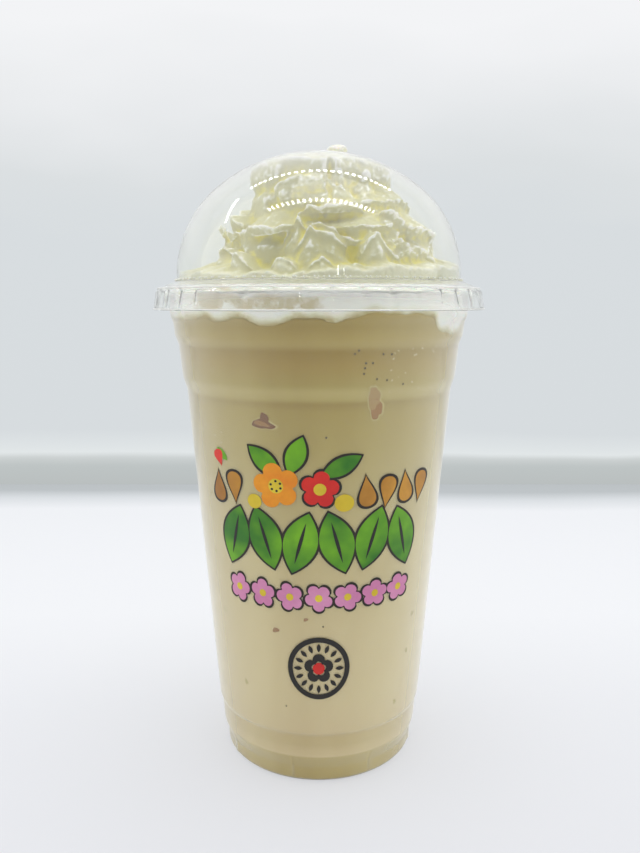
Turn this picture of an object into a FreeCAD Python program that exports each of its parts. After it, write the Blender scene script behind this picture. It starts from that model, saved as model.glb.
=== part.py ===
"""A frappe in a clear takeaway cup: cup, domed lid, drink and a squeezed swirl of whipped cream.

Millimetres, +Z up. The origin is the centre of the ring that the cup stands on, and the
front of the cream faces -Y. Azimuths are in degrees from the front, positive towards +X.
"""
import FreeCAD, Part

import math
import os

import Mesh
import Sketcher

VECTOR = FreeCAD.Vector

# The driving sizes, as they go into the sheet.
SIZES = {
    # cup: outer radius and height of each turn of its wall, from the foot up
    "cup_wall": 0.45,
    "floor_height": 3.2,
    "foot_channel_radius": 25.6,
    "foot_ring_radius": 27.4,
    "foot_radius": 30.2,
    "foot_round": 1.3,
    "foot_height": 5.0,
    "heel_radius": 31.6,
    "heel_height": 8.8,
    "hoop_radius": 32.2,
    "hoop_height": 16.2,
    "body_low_radius": 32.85,
    "body_low_height": 17.5,
    "body_top_radius": 41.1,
    "body_top_height": 117.5,
    "band_low_radius": 42.3,
    "band_low_height": 121.0,
    "band_top_radius": 43.3,
    "band_top_height": 131.0,
    "collar_low_radius": 44.35,
    "collar_low_height": 133.5,
    "collar_top_radius": 44.8,
    "collar_top_height": 137.6,
    "neck_low_radius": 45.6,
    "neck_low_height": 139.3,
    "neck_top_radius": 45.9,
    "rim_radius": 47.7,
    "rim_height": 147.75,
    "rim_roll": 1.1,
    # upright ribs round the foot
    "foot_rib_width": 1.7,
    "foot_rib_depth": 0.35,
    "foot_rib_low": 1.5,
    # lid
    "lid_wall": 0.4,
    "hole_radius": 10.0,
    "crown_radius": 49.0,
    "dome_top": 188.0,
    "dome_radius": 43.4,
    "dome_base": 150.7,
    "flange_radius": 44.3,
    "flange_height": 149.35,
    "shoulder_radius": 48.8,
    "shoulder_height": 147.45,
    "skirt_top_radius": 49.6,
    "skirt_top_height": 146.6,
    "skirt_low_radius": 50.4,
    "skirt_low_height": 141.1,
    "lip_radius": 50.75,
    "lip_height": 0.5,
    # grips inside the skirt, which hold the rim
    "grip_radius": 47.75,
    "grip_low": 142.4,
    "grip_top": 146.4,
    "grip_width": 1.5,
    "tab_width": 8.4,
    "tab_depth": 0.35,
    # drink and cream
    "drink_height": 142.0,
    "cream_gap": 0.12,
}

FOOT_RIBS = 8
FOOT_RIB_AZIMUTH = -15.0
GRIPS = 40
TAB_AZIMUTHS = {"LeftTab": -36.0, "RightTab": 36.0}


def with_worked_out_sizes(given):
    """The given sizes, and those that follow from them: where the dome's two arcs meet and where its hole cuts them."""
    sizes = dict(given)
    crown_centre = sizes["dome_top"] - sizes["crown_radius"]
    rise = sizes["dome_base"] - crown_centre
    reach = sizes["dome_radius"]
    crown = sizes["crown_radius"]
    # the side arc is centred level with the dome's base and touches the crown arc from inside
    side = (crown**2 - reach**2 - rise**2) / (2 * (crown - reach))
    side_centre = reach - side
    lean = math.atan2(rise, side_centre)
    sizes["side_radius"] = side
    for face, inset in (("outer", 0.0), ("inner", sizes["lid_wall"])):
        sizes["join_%s_radius" % face] = (crown - inset) * math.cos(lean)
        sizes["join_%s_height" % face] = crown_centre + (crown - inset) * math.sin(lean)
        sizes["hole_%s_height" % face] = crown_centre + math.sqrt((crown - inset) ** 2 - sizes["hole_radius"] ** 2)
        sizes["crown_%s_arc" % face] = crown - inset
        sizes["side_%s_arc" % face] = side - inset
    sizes["rim_roll_radius"] = sizes["rim_radius"] - sizes["rim_roll"]
    sizes["rim_roll_height"] = sizes["rim_height"] - sizes["rim_roll"]
    return sizes


SIZE = with_worked_out_sizes(SIZES)

# The cup's wall above its foot: radius and height of each corner, bottom to top.
CUP_CORNERS = [
    ("foot_radius", "foot_height"),
    ("heel_radius", "heel_height"),
    ("hoop_radius", "hoop_height"),
    ("body_low_radius", "body_low_height"),
    ("body_top_radius", "body_top_height"),
    ("band_low_radius", "band_low_height"),
    ("band_top_radius", "band_top_height"),
    ("collar_low_radius", "collar_low_height"),
    ("collar_top_radius", "collar_top_height"),
    ("neck_low_radius", "neck_low_height"),
    ("neck_top_radius", "rim_roll_height"),
]

doc = FreeCAD.newDocument("frappe")
sheet = doc.addObject("Spreadsheet::Sheet", "sizes")
for row, (name, value) in enumerate(SIZE.items(), start=1):
    sheet.set("A%d" % row, name)
    sheet.set("B%d" % row, "%.6f" % value)
    sheet.setAlias("B%d" % row, name)
doc.recompute()


def worth(sum_of_sizes):
    """The value of a size, or of sizes added and taken away, such as "foot_radius - cup_wall"."""
    total = 0.0
    sign = 1.0
    for word in sum_of_sizes.split():
        if word in "+-":
            sign = 1.0 if word == "+" else -1.0
        else:
            total += sign * (SIZE[word] if word in SIZE else float(word))
    return total


def in_sheet(sum_of_sizes):
    """The same sum as an expression on the sheet's cells."""
    return " ".join("sizes." + word if word in SIZE else word for word in sum_of_sizes.split())


def upright_plane(body):
    return next(plane for plane in body.Origin.OriginFeatures if plane.Role == "XZ_Plane")


def upright_axis(body):
    return next(axis for axis in body.Origin.OriginFeatures if axis.Role == "Z_Axis")


def new_sketch(body, name, turn=0.0):
    """A sketch on the body's upright plane, turned about the upright axis by an angle in degrees."""
    sketch = body.newObject("Sketcher::SketchObject", name)
    sketch.AttachmentSupport = (upright_plane(body), [""])
    sketch.MapMode = "FlatFace"
    sketch.AttachmentOffset = FreeCAD.Placement(VECTOR(0, 0, 0), FreeCAD.Rotation(VECTOR(0, 1, 0), turn))
    return sketch


def bind(sketch, constraint, sum_of_sizes, name):
    index = sketch.addConstraint(constraint)
    sketch.renameConstraint(index, name)
    sketch.setExpression("Constraints." + name, in_sheet(sum_of_sizes))


def arc_between(start, end, radius, bulge):
    """An arc from start to end. Its centre is on the left of that way if bulge is -1, on the right if it is 1."""
    chord = end - start
    middle = (start + end) * 0.5
    offset = math.sqrt(max(radius**2 - (chord.Length / 2) ** 2, 0.0))
    left = VECTOR(-chord.y, chord.x, 0) / chord.Length
    centre = middle - left * offset * bulge
    first = math.atan2(start.y - centre.y, start.x - centre.x)
    last = math.atan2(end.y - centre.y, end.x - centre.x)
    circle = Part.Circle(centre, VECTOR(0, 0, 1), radius)
    if bulge > 0:
        return Part.ArcOfCircle(circle, last, first), 2, 1
    return Part.ArcOfCircle(circle, first, last), 1, 2


def outline(sketch, corners):
    """A closed outline through corners. Each is (radius, height), with (arc radius, bulge) after it
    where an arc leads there from the corner before. Radius "0" lies on the axis."""
    points = [VECTOR(worth(corner[0]), worth(corner[1]), 0) for corner in corners]
    ends = []
    for index, corner in enumerate(corners):
        start, end = points[index - 1], points[index]
        if len(corner) > 2:
            arc, first, last = arc_between(start, end, worth(corner[2]), corner[3])
            edge = sketch.addGeometry(arc, False)
        else:
            edge = sketch.addGeometry(Part.LineSegment(start, end), False)
            first, last = 1, 2
        ends.append((edge, first, last))
    for index, (edge, first, last) in enumerate(ends):
        before, _, before_last = ends[index - 1]
        sketch.addConstraint(Sketcher.Constraint("Coincident", before, before_last, edge, first))
    for index, corner in enumerate(corners):
        edge, first, last = ends[index]
        if corner[0] == "0":
            sketch.addConstraint(Sketcher.Constraint("PointOnObject", edge, last, -2))
        else:
            across = Sketcher.Constraint("DistanceX", -1, 1, edge, last, points[index].x)
            bind(sketch, across, corner[0], "across%d" % index)
        if corner[1] == "0":
            sketch.addConstraint(Sketcher.Constraint("PointOnObject", edge, last, -1))
        else:
            up = Sketcher.Constraint("DistanceY", -1, 1, edge, last, points[index].y)
            bind(sketch, up, corner[1], "up%d" % index)
        if len(corner) > 2:
            bind(sketch, Sketcher.Constraint("Radius", edge, worth(corner[2])), corner[2], "arc%d" % index)
    return sketch


def revolve(body, name, sketch):
    """The sketch turned all the way round the upright axis."""
    turned = body.newObject("PartDesign::Revolution", name)
    turned.Profile = sketch
    turned.ReferenceAxis = (sketch, ["V_Axis"])
    turned.Angle = 360.0
    sketch.Visibility = False
    return turned


def upright_rib(body, name, corners, width, azimuth):
    """A rib that stands out radially at an azimuth: its side is the outline, width its thickness."""
    sketch = outline(new_sketch(body, name + "Side", azimuth - 90.0), corners)
    rib = body.newObject("PartDesign::Pad", name)
    rib.Profile = sketch
    rib.Midplane = True
    rib.Length = worth(width)
    rib.setExpression("Length", in_sheet(width))
    sketch.Visibility = False
    return rib


def repeat_round(body, name, feature, count):
    pattern = body.newObject("PartDesign::PolarPattern", name)
    pattern.Originals = [feature]
    pattern.Axis = (upright_axis(body), [""])
    pattern.Angle = 360.0
    pattern.Occurrences = count
    body.Tip = pattern
    return pattern


def new_body(name, label):
    body = doc.addObject("PartDesign::Body", name)
    body.Label = label
    return body


def less_wall(corner):
    """The point inside the cup's wall beside one of its corners."""
    return (corner[0] + " - cup_wall", corner[1])


def cup_inside():
    """The inner face of the cup from the middle of its floor up to the last corner of its wall."""
    return [
        ("0", "floor_height + cup_wall"),
        ("foot_channel_radius + cup_wall", "floor_height + cup_wall"),
        ("foot_ring_radius", "cup_wall"),
        ("foot_radius - foot_round", "cup_wall"),
        ("foot_radius - cup_wall", "foot_round"),
    ] + [less_wall(corner) for corner in CUP_CORNERS]


def make_cup():
    """A thin formed wall with a raised floor, stiffening ledges, a rolled rim and ribs round the foot."""
    body = new_body("Cup", "cup")
    outside = [
        ("0", "floor_height"),
        ("foot_channel_radius", "floor_height"),
        ("foot_ring_radius - cup_wall", "0"),
        ("foot_radius - foot_round", "0"),
        ("foot_radius", "foot_round", "foot_round", -1),
    ] + CUP_CORNERS
    inside = list(reversed(cup_inside()))
    revolve(body, "Wall", outline(new_sketch(body, "WallSection"), outside + inside))

    roll_section = new_sketch(body, "RimSection")
    centre = VECTOR(SIZE["rim_roll_radius"], SIZE["rim_roll_height"], 0)
    roll = roll_section.addGeometry(Part.Circle(centre, VECTOR(0, 0, 1), SIZE["rim_roll"]), False)
    bind(roll_section, Sketcher.Constraint("DistanceX", -1, 1, roll, 3, centre.x), "rim_roll_radius", "across")
    bind(roll_section, Sketcher.Constraint("DistanceY", -1, 1, roll, 3, centre.y), "rim_roll_height", "up")
    bind(roll_section, Sketcher.Constraint("Radius", roll, SIZE["rim_roll"]), "rim_roll", "roll")
    revolve(body, "RolledRim", roll_section)

    rib_side = [
        ("foot_radius - cup_wall", "foot_rib_low"),
        ("foot_radius", "foot_rib_low"),
        ("foot_radius + foot_rib_depth", "foot_rib_low + foot_rib_depth"),
        ("foot_radius + foot_rib_depth", "foot_height"),
        ("foot_radius - cup_wall", "foot_height"),
    ]
    rib = upright_rib(body, "FootRib", rib_side, "foot_rib_width", FOOT_RIB_AZIMUTH)
    repeat_round(body, "FootRibs", rib, FOOT_RIBS)
    return body


def make_lid():
    """A domed lid: two tangent arcs up to the straw hole, a sloping flange on the rim, and a skirt
    with grips that hold the rolled rim and two pull tabs."""
    body = new_body("Lid", "lid")
    section = [
        ("hole_radius", "hole_outer_height"),
        ("join_outer_radius", "join_outer_height", "crown_outer_arc", 1),
        ("dome_radius", "dome_base", "side_outer_arc", 1),
        ("dome_radius", "flange_height + lid_wall"),
        ("flange_radius", "flange_height"),
        ("shoulder_radius", "shoulder_height"),
        ("skirt_top_radius", "skirt_top_height"),
        ("skirt_low_radius", "skirt_low_height + lip_height"),
        ("lip_radius", "skirt_low_height"),
        ("skirt_low_radius - lid_wall", "skirt_low_height"),
        ("skirt_top_radius - lid_wall", "skirt_top_height - lid_wall"),
        ("shoulder_radius - lid_wall", "shoulder_height - lid_wall"),
        ("flange_radius", "flange_height - lid_wall"),
        ("dome_radius - lid_wall", "flange_height"),
        ("dome_radius - lid_wall", "dome_base"),
        ("join_inner_radius", "join_inner_height", "side_inner_arc", -1),
        ("hole_radius", "hole_inner_height", "crown_inner_arc", -1),
    ]
    revolve(body, "Shell", outline(new_sketch(body, "ShellSection"), section))

    grip_side = [
        ("grip_radius", "grip_low"),
        ("skirt_low_radius - lid_wall", "grip_low"),
        ("skirt_top_radius - lid_wall", "grip_top"),
        ("grip_radius", "grip_top"),
    ]
    grip = upright_rib(body, "Grip", grip_side, "grip_width", 90.0)
    repeat_round(body, "Grips", grip, GRIPS)

    tab_side = [
        ("skirt_top_radius - lid_wall", "grip_low"),
        ("skirt_low_radius + tab_depth", "grip_low"),
        ("skirt_top_radius + tab_depth", "grip_top"),
        ("skirt_top_radius - lid_wall", "grip_top"),
    ]
    for name, azimuth in TAB_AZIMUTHS.items():
        body.Tip = upright_rib(body, name, tab_side, "tab_width", azimuth)
    return body


# ---- Whipped cream ---------------------------------------------------------------------------
# The mound is a union of simple forms round one middle point. Each ray from that point ends where
# it leaves the outermost form, and the rays' ends are the corners of the solid's faces.

RAYS_ROUND = 96
RAYS_UP = 30
LOWEST_SLOPE = 2.2
HIGHEST_SLOPE = 86.0
SLOPE_SPREAD = 1.15
RAY_LENGTH = 62.0
RAY_STEP = 0.5
RAY_HALVINGS = 7
HEART_HEIGHT = 147.2
BED_RINGS = (9.0, 18.0, 27.0, 36.0, 41.5)
CUTTER_RADIUS = 50.0

# The skirt of cream round the foot of the dome: its reach, the height of its edge at the front,
# how much that rises to the right, and how much it rises inwards for each millimetre.
SHELF = (42.8, 151.4, 1.9, 0.42)

# A round tier: mean radius, how much it leans out to the right, height of its top at the front,
# how much that rises to the right, thickness of its lip and depth of the hollow under the lip.
TIERS = (
    (31.4, 3.6, 164.2, 0.6, 0.0, 2.0),
    (24.0, 4.2, 171.3, 1.6, 0.0, 1.6),
    (21.4, 1.0, 187.0, 0.0, 8.5, 2.2),
)
HOLLOW_HEIGHT = 6.0
FOOT_FLARE = 1.0 / 6.0
CREST_RIPPLE = 0.5
EDGE_RIPPLE = 0.6

# A torn fin: azimuth, crest height, half its width in degrees, radius at the crest and at the foot.
FRONT_FINS = (
    (-4.0, 164.2, 17.0, 31.5, 36.5),
    (8.0, 160.5, 10.0, 32.0, 36.5),
    (-12.0, 167.0, 9.0, 28.0, 32.0),
    (26.0, 162.2, 18.0, 33.0, 39.0),
    (-39.0, 156.5, 8.0, 36.5, 38.5),
    (-16.0, 154.8, 9.0, 37.0, 39.5),
    (0.5, 155.4, 9.0, 36.5, 39.5),
    (48.0, 168.5, 13.0, 30.5, 33.5),
    (66.0, 163.5, 12.0, 34.5, 38.0),
    (84.0, 159.5, 13.0, 37.0, 40.0),
    (-60.0, 158.5, 13.0, 32.0, 35.0),
    (14.0, 170.6, 26.0, 25.4, 24.2),
)
FIN_FLOOR = 149.5
FIN_SLOPE_POWER = 1.25
FIN_SPREAD_POWER = 1.8
FIN_BOW = 2.5

# The fins at the back: count, first azimuth, pitch, mean crest, half width, crest and foot radius.
BACK_FINS = (9, 104.0, 19.5, 160.5, 12.0, 32.5, 37.5)

# Cream squeezed out of the straw hole: its place to the right and back, its reach, top and droop.
LUMP = (4.4, 1.0, 3.0, 190.3, 1.6)

# The dip beside it: place to the right, reach, height of its bottom and how much its rim rises.
DIP = (-4.6, 7.0, 180.6, 6.0)

# How far inside the straw hole's edge the lump stays, and how far outside it the mound does.
HOLE_CLEARANCE = 2.2

# The seam with the drink: its height, its ripple at the front and at the back, and its lobes,
# each an azimuth, a width in degrees and how far it hangs down.
SEAM_HEIGHT = 139.9
SEAM_RIPPLE = 0.5
BACK_RIPPLE = 1.6
SEAM_LOBES = ((-16.0, 11.0, 2.6), (5.0, 8.0, 2.2), (57.0, 13.0, 5.2), (-62.0, 16.0, 1.2))


def angle_apart(azimuth, other):
    return (azimuth - other + 180.0) % 360.0 - 180.0


def wave(azimuth, turns, shift=0.0):
    """A ripple round the mound between -1 and 1. One turn is 1 at the right and -1 at the left."""
    return math.sin(math.radians(turns * azimuth + shift))


def back_fins():
    """Fins round the sides and back, uneven in height and width, as the nozzle's ridges tear."""
    count, first, pitch, crest, width, crest_radius, foot_radius = BACK_FINS
    fins = []
    for index in range(count):
        fins.append((
            first + index * pitch + 4.0 * math.sin(2.1 * index),
            crest + 4.0 * math.sin(1.7 * index + 0.6),
            width + 2.5 * math.cos(2.9 * index),
            crest_radius + 1.5 * math.sin(1.3 * index),
            foot_radius,
        ))
    return fins


FINS = FRONT_FINS + tuple(back_fins())


def in_shelf(radius, azimuth, height):
    reach, edge, rise, slope = SHELF
    top = edge + rise * wave(azimuth, 1) + CREST_RIPPLE * wave(azimuth, 5) + slope * (reach - radius)
    return radius < reach and height < top


def in_tier(tier, radius, azimuth, height):
    reach, lean, top, rise, lip, hollow = tier
    crest = top + rise * wave(azimuth, 1) + CREST_RIPPLE * wave(azimuth, 5, 20 * reach)
    if height > crest:
        return False
    depth = (crest - lip - height) / HOLLOW_HEIGHT
    edge = reach + lean * wave(azimuth, 1) + EDGE_RIPPLE * wave(azimuth, 7, 35 * reach)
    edge -= hollow * math.sin(math.pi * min(max(depth, 0.0), 1.0))
    edge += FOOT_FLARE * HOLLOW_HEIGHT * max(depth - 1.0, 0.0)
    return radius < edge


def in_fin(fin, radius, azimuth, height):
    middle, crest, half_width, crest_radius, foot_radius = fin
    across = abs(angle_apart(azimuth, middle)) / half_width
    if across >= 1.0:
        return False
    top = FIN_FLOOR + (crest - FIN_FLOOR) * (1.0 - across**FIN_SLOPE_POWER)
    if height > top:
        return False
    drop = (crest - height) / (crest - FIN_FLOOR)
    edge = crest_radius + (foot_radius - crest_radius) * drop**FIN_SPREAD_POWER
    return radius < edge - FIN_BOW * across**2


def in_lump(radius, azimuth, height):
    """The cream that is squeezed out through the straw hole."""
    across, back, reach, top, droop = LUMP
    apart = math.hypot(radius * wave(azimuth, 1) - across, radius * wave(azimuth, 1, 90.0) + back) / reach
    return apart < 1.0 and height < top - droop * apart**2


def in_dip(radius, azimuth, height):
    """The dip in the cream under the free side of the straw hole."""
    across, reach, bottom, rise = DIP
    apart = math.hypot(radius * wave(azimuth, 1) - across, radius * wave(azimuth, 1, 90.0)) / reach
    return apart < 1.0 and height > bottom + rise * apart**2


def under_lid(radius, height):
    """Whether a point is inside the dome, clear of its wall and of the edge of its straw hole."""
    gap = SIZE["lid_wall"] + SIZE["cream_gap"]
    if height < SIZE["dome_base"]:
        return radius < SIZE["dome_radius"] - gap
    if radius < SIZE["hole_radius"] + HOLE_CLEARANCE:
        return height < MOUND_TOP or radius < SIZE["hole_radius"] - HOLE_CLEARANCE
    if radius > SIZE["join_outer_radius"]:
        side_centre = SIZE["dome_radius"] - SIZE["side_radius"]
        return math.hypot(radius - side_centre, height - SIZE["dome_base"]) < SIZE["side_radius"] - gap
    return math.hypot(radius, height - SIZE["dome_top"] + SIZE["crown_radius"]) < SIZE["crown_radius"] - gap


MOUND_TOP = SIZE["hole_inner_height"] - 4 * SIZE["cream_gap"]


def in_cream(radius, azimuth, height):
    if not under_lid(radius, height):
        return False
    if in_lump(radius, azimuth, height):
        return True
    if height > MOUND_TOP or in_dip(radius, azimuth, height):
        return False
    return (
        in_shelf(radius, azimuth, height)
        or any(in_tier(tier, radius, azimuth, height) for tier in TIERS)
        or any(in_fin(fin, radius, azimuth, height) for fin in FINS)
    )


def ray_end(azimuth, slope):
    """The outermost point of the cream on the ray from its heart at an azimuth and a slope in degrees."""
    across, up = math.cos(math.radians(slope)), math.sin(math.radians(slope))
    length = RAY_LENGTH
    while length > RAY_STEP and not in_cream(length * across, azimuth, HEART_HEIGHT + length * up):
        length -= RAY_STEP
    low, high = length, length + RAY_STEP
    for _ in range(RAY_HALVINGS):
        middle = (low + high) / 2
        if in_cream(middle * across, azimuth, HEART_HEIGHT + middle * up):
            low = middle
        else:
            high = middle
    return low * across, HEART_HEIGHT + low * up


def round_point(radius, azimuth, height):
    angle = math.radians(azimuth)
    return VECTOR(radius * math.sin(angle), -radius * math.cos(angle), height)


def bed_height(azimuth):
    """Height of the seam between cream and drink at the cup's wall: broad lobes of cream hang into the drink."""
    height = SEAM_HEIGHT + SEAM_RIPPLE * wave(azimuth, 3, 40.0)
    for middle, width, depth in SEAM_LOBES:
        height -= depth * math.exp(-((angle_apart(azimuth, middle) / width) ** 2))
    behind = max(0.0, wave(azimuth, 1, -90.0))
    return height - BACK_RIPPLE * behind * wave(azimuth, 5) ** 2


def cup_inner_radius(height):
    """Inner radius of the cup's wall at a height above its foot."""
    corners = [(SIZE[radius] - SIZE["cup_wall"], SIZE[level]) for radius, level in CUP_CORNERS]
    for (low_radius, low), (top_radius, top) in zip(corners, corners[1:]):
        if low <= height <= top:
            return low_radius + (top_radius - low_radius) * (height - low) / (top - low)
    return corners[-1][0]


AZIMUTHS = [360.0 * index / RAYS_ROUND for index in range(RAYS_ROUND)]


def bed_rings():
    """Rings of points on the underside of the cream, from the middle to the cup's wall."""
    rings = []
    for radius in BED_RINGS:
        share = (radius / BED_RINGS[-1]) ** 2
        middle_height = SIZE["band_top_height"]
        rings.append(
            [round_point(radius, a, middle_height + (bed_height(a) - middle_height) * share) for a in AZIMUTHS]
        )
    skin = SIZE["cream_gap"] / 3
    rings.append([round_point(cup_inner_radius(bed_height(a)) - skin, a, bed_height(a)) for a in AZIMUTHS])
    return rings


def side_rings():
    """Rings up the cup's wall, from the seam with the drink to the top of the cup. One lies at each
    ledge above the seam, so that the cream follows the wall and never cuts through it."""
    skin = SIZE["cream_gap"] / 3
    shelf = SIZE["rim_roll_height"]
    rings = []
    for step, corner in enumerate(("collar_top_height", "neck_low_height", "rim_roll_height"), start=1):
        ring = []
        for azimuth in AZIMUTHS:
            height = max(SIZE[corner], bed_height(azimuth) + step * skin)
            ring.append(round_point(cup_inner_radius(height) - skin, azimuth, height))
        rings.append(ring)
    reach = SIZE["dome_radius"] - SIZE["lid_wall"] - SIZE["cream_gap"]
    rings.append([round_point(reach, azimuth, shelf + SIZE["cream_gap"]) for azimuth in AZIMUTHS])
    return rings


def mound_rings():
    """Rings over the mound. The slopes are closer together where the tiers and fins are."""
    rings = []
    for index in range(RAYS_UP):
        share = index / (RAYS_UP - 1.0)
        slope = LOWEST_SLOPE + (HIGHEST_SLOPE - LOWEST_SLOPE) * share**SLOPE_SPREAD
        ring = []
        for azimuth in AZIMUTHS:
            radius, height = ray_end(azimuth, slope)
            ring.append(round_point(radius, azimuth, height))
        rings.append(ring)
    return rings


def closed_solid(rings, low_middle, top_middle):
    """A closed solid of triangles through rings of points, with a fan to a middle point at each end."""
    count = RAYS_ROUND
    triangles = []
    for index in range(count):
        after = (index + 1) % count
        triangles.append((low_middle, rings[0][after], rings[0][index]))
        triangles.append((rings[-1][index], rings[-1][after], top_middle))
    for low, top in zip(rings, rings[1:]):
        for index in range(count):
            after = (index + 1) % count
            if (low[index] - top[after]).Length < (low[after] - top[index]).Length:
                triangles.append((low[index], low[after], top[after]))
                triangles.append((low[index], top[after], top[index]))
            else:
                triangles.append((low[index], low[after], top[index]))
                triangles.append((low[after], top[after], top[index]))
    facets = Mesh.Mesh(triangles)
    shell = Part.Shape()
    shell.makeShapeFromMesh(facets.Topology, 0.001)
    return Part.Solid(Part.Shell(shell.Faces))


def make_cream():
    rings = bed_rings() + side_rings() + mound_rings()
    heart, top = ray_end(0.0, 89.9)
    cream = doc.addObject("Part::Feature", "Cream")
    cream.Label = "cream"
    cream.Shape = closed_solid(rings, VECTOR(0, 0, SIZE["band_top_height"]), VECTOR(heart, 0, top))
    return cream


def make_drink():
    """The drink fills the cup up to the underside of the cream, wall and floor face to face."""
    fill = new_body("DrinkFill", "drink fill")
    inside = cup_inside()
    inside = inside[: -len(CUP_CORNERS)] + [
        less_wall(corner) for corner in CUP_CORNERS if worth(corner[1]) < SIZE["drink_height"]
    ]
    top_radius = "neck_low_radius - cup_wall"
    section = inside + [(top_radius, "drink_height"), ("0", "drink_height")]
    revolve(fill, "Fill", outline(new_sketch(fill, "FillSection"), section))

    bed = bed_rings()
    edge = [[round_point(CUTTER_RADIUS, a, bed_height(a)) for a in AZIMUTHS]]
    edge.append([round_point(CUTTER_RADIUS, a, SIZE["rim_height"]) for a in AZIMUTHS])
    bed_cutter = doc.addObject("Part::Feature", "CreamBed")
    bed_cutter.Label = "cream bed"
    bed_cutter.Shape = closed_solid(
        bed + edge, VECTOR(0, 0, SIZE["band_top_height"]), VECTOR(0, 0, SIZE["rim_height"])
    )
    drink = doc.addObject("Part::Cut", "Drink")
    drink.Label = "drink"
    drink.Base = fill
    drink.Tool = bed_cutter
    return drink


cup = make_cup()
lid = make_lid()
cream = make_cream()
drink = make_drink()
doc.recompute()

for item in doc.Objects:
    if "Invalid" in item.State or "Error" in item.State:
        raise RuntimeError("%s did not build: %s" % (item.Name, item.State))
os.makedirs("parts", exist_ok=True)
for piece in (cup, lid, drink, cream):
    shape = piece.Shape
    if shape.isNull() or not shape.isValid() or shape.Volume <= 0:
        raise RuntimeError("%s is not a valid solid" % piece.Label)
    shape.exportStep("parts/%s.step" % piece.Label)
    box = shape.BoundBox
    print("%-6s %9.1f mm3, %5d faces, z %.2f to %.2f, reach %.2f" % (
        piece.Label, shape.Volume, len(shape.Faces), box.ZMin, box.ZMax, box.XMax))
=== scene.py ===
"""Looks of a frappe in a clear takeaway cup with a domed lid and whipped cream.

Sizes are in millimetres until a point goes into a mesh. Azimuths are in degrees from the
front (-Y), positive towards +X.
"""
import math

import bpy
import numpy as np
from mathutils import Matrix, Vector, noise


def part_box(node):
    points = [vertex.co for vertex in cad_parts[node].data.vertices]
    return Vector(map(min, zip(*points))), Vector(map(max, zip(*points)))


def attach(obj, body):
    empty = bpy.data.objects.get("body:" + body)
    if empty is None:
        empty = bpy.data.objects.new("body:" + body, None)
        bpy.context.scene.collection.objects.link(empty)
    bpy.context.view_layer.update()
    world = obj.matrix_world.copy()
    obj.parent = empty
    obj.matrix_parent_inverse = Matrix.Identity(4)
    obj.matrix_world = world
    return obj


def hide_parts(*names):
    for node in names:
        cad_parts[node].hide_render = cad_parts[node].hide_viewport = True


MM = 0.001

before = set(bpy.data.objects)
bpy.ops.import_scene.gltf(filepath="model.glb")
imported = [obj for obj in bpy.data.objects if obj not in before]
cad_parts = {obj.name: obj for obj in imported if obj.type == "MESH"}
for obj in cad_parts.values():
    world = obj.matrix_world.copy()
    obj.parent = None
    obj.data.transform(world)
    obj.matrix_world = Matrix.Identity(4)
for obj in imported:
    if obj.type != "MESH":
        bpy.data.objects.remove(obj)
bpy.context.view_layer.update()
bpy.ops.object.select_all(action="DESELECT")


# ---- Sizes ----

_, cup_high = (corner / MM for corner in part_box("cup"))
lid_low, lid_high = (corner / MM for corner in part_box("lid"))
_, cream_high = (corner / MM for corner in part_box("cream"))

RIM_RADIUS = cup_high.x
SKIRT_RADIUS = lid_high.x
SKIRT_LOW = lid_low.z

CUP_WALL = 0.45
LID_WALL = 0.4
FLOOR = 3.2
FLOOR_RADIUS = 25.6
RING_RADIUS = 28.9
FOOT_RADIUS = 30.2
FOOT_HEIGHT = 5.0
ROLL = 1.1
ROLL_HEIGHT = cup_high.z - ROLL
SEAM_HEIGHT = 139.9
BEND = 0.7
IN_WALL = CUP_WALL * 0.55

# Outer radius and height of each turn of the cup's wall, bottom to top.
CUP_CORNERS = [
    (FOOT_RADIUS, 1.3), (FOOT_RADIUS, FOOT_HEIGHT), (31.6, 8.8), (32.2, 16.2), (32.85, 17.5), (41.1, 117.5),
    (42.3, 121.0), (43.3, 131.0), (44.35, 133.5), (44.8, 137.6), (45.6, 139.3), (45.9, ROLL_HEIGHT),
]

HOLE_RADIUS = 10.0
CROWN_RADIUS = 49.0
DOME_TOP = 188.0
DOME_RADIUS = 43.4
DOME_BASE = 150.7
CROWN_CENTRE = DOME_TOP - CROWN_RADIUS
BASE_RISE = DOME_BASE - CROWN_CENTRE
SIDE_ARC = (CROWN_RADIUS**2 - DOME_RADIUS**2 - BASE_RISE**2) / (2 * (CROWN_RADIUS - DOME_RADIUS))
SIDE_CENTRE = DOME_RADIUS - SIDE_ARC
JOIN_LEAN = math.atan2(BASE_RISE, SIDE_CENTRE)


# ---- Camera ----

CAMERA_PLACE = (0.36, -245.2, 143.3)
CAMERA_DIP = 9.07


def add_camera():
    """A camera held close in front of the cup, level with the lid's skirt and tipped down a little."""
    data = bpy.data.cameras.new("camera")
    data.lens, data.sensor_width = 32.82, 36.0
    camera = bpy.data.objects.new("camera", data)
    bpy.context.scene.collection.objects.link(camera)
    camera.location = Vector(CAMERA_PLACE) * MM
    camera.rotation_euler = (math.radians(90.0 - CAMERA_DIP), 0.0, 0.0)
    bpy.context.scene.camera = camera


# ---- Materials ----

def linear(red, green, blue):
    """A colour given as 0 to 255 on the screen, as linear light."""
    def one(value):
        value /= 255.0
        return value / 12.92 if value <= 0.04045 else ((value + 0.055) / 1.055) ** 2.4
    return (one(red), one(green), one(blue), 1.0)


def grey(value):
    return (value, value, value, 1)


def tones(stops, full=1.0):
    """Stops of a ramp, each a place up to full and a colour as on the screen."""
    return [(place / full, linear(*colour)) for place, *colour in stops]


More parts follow.
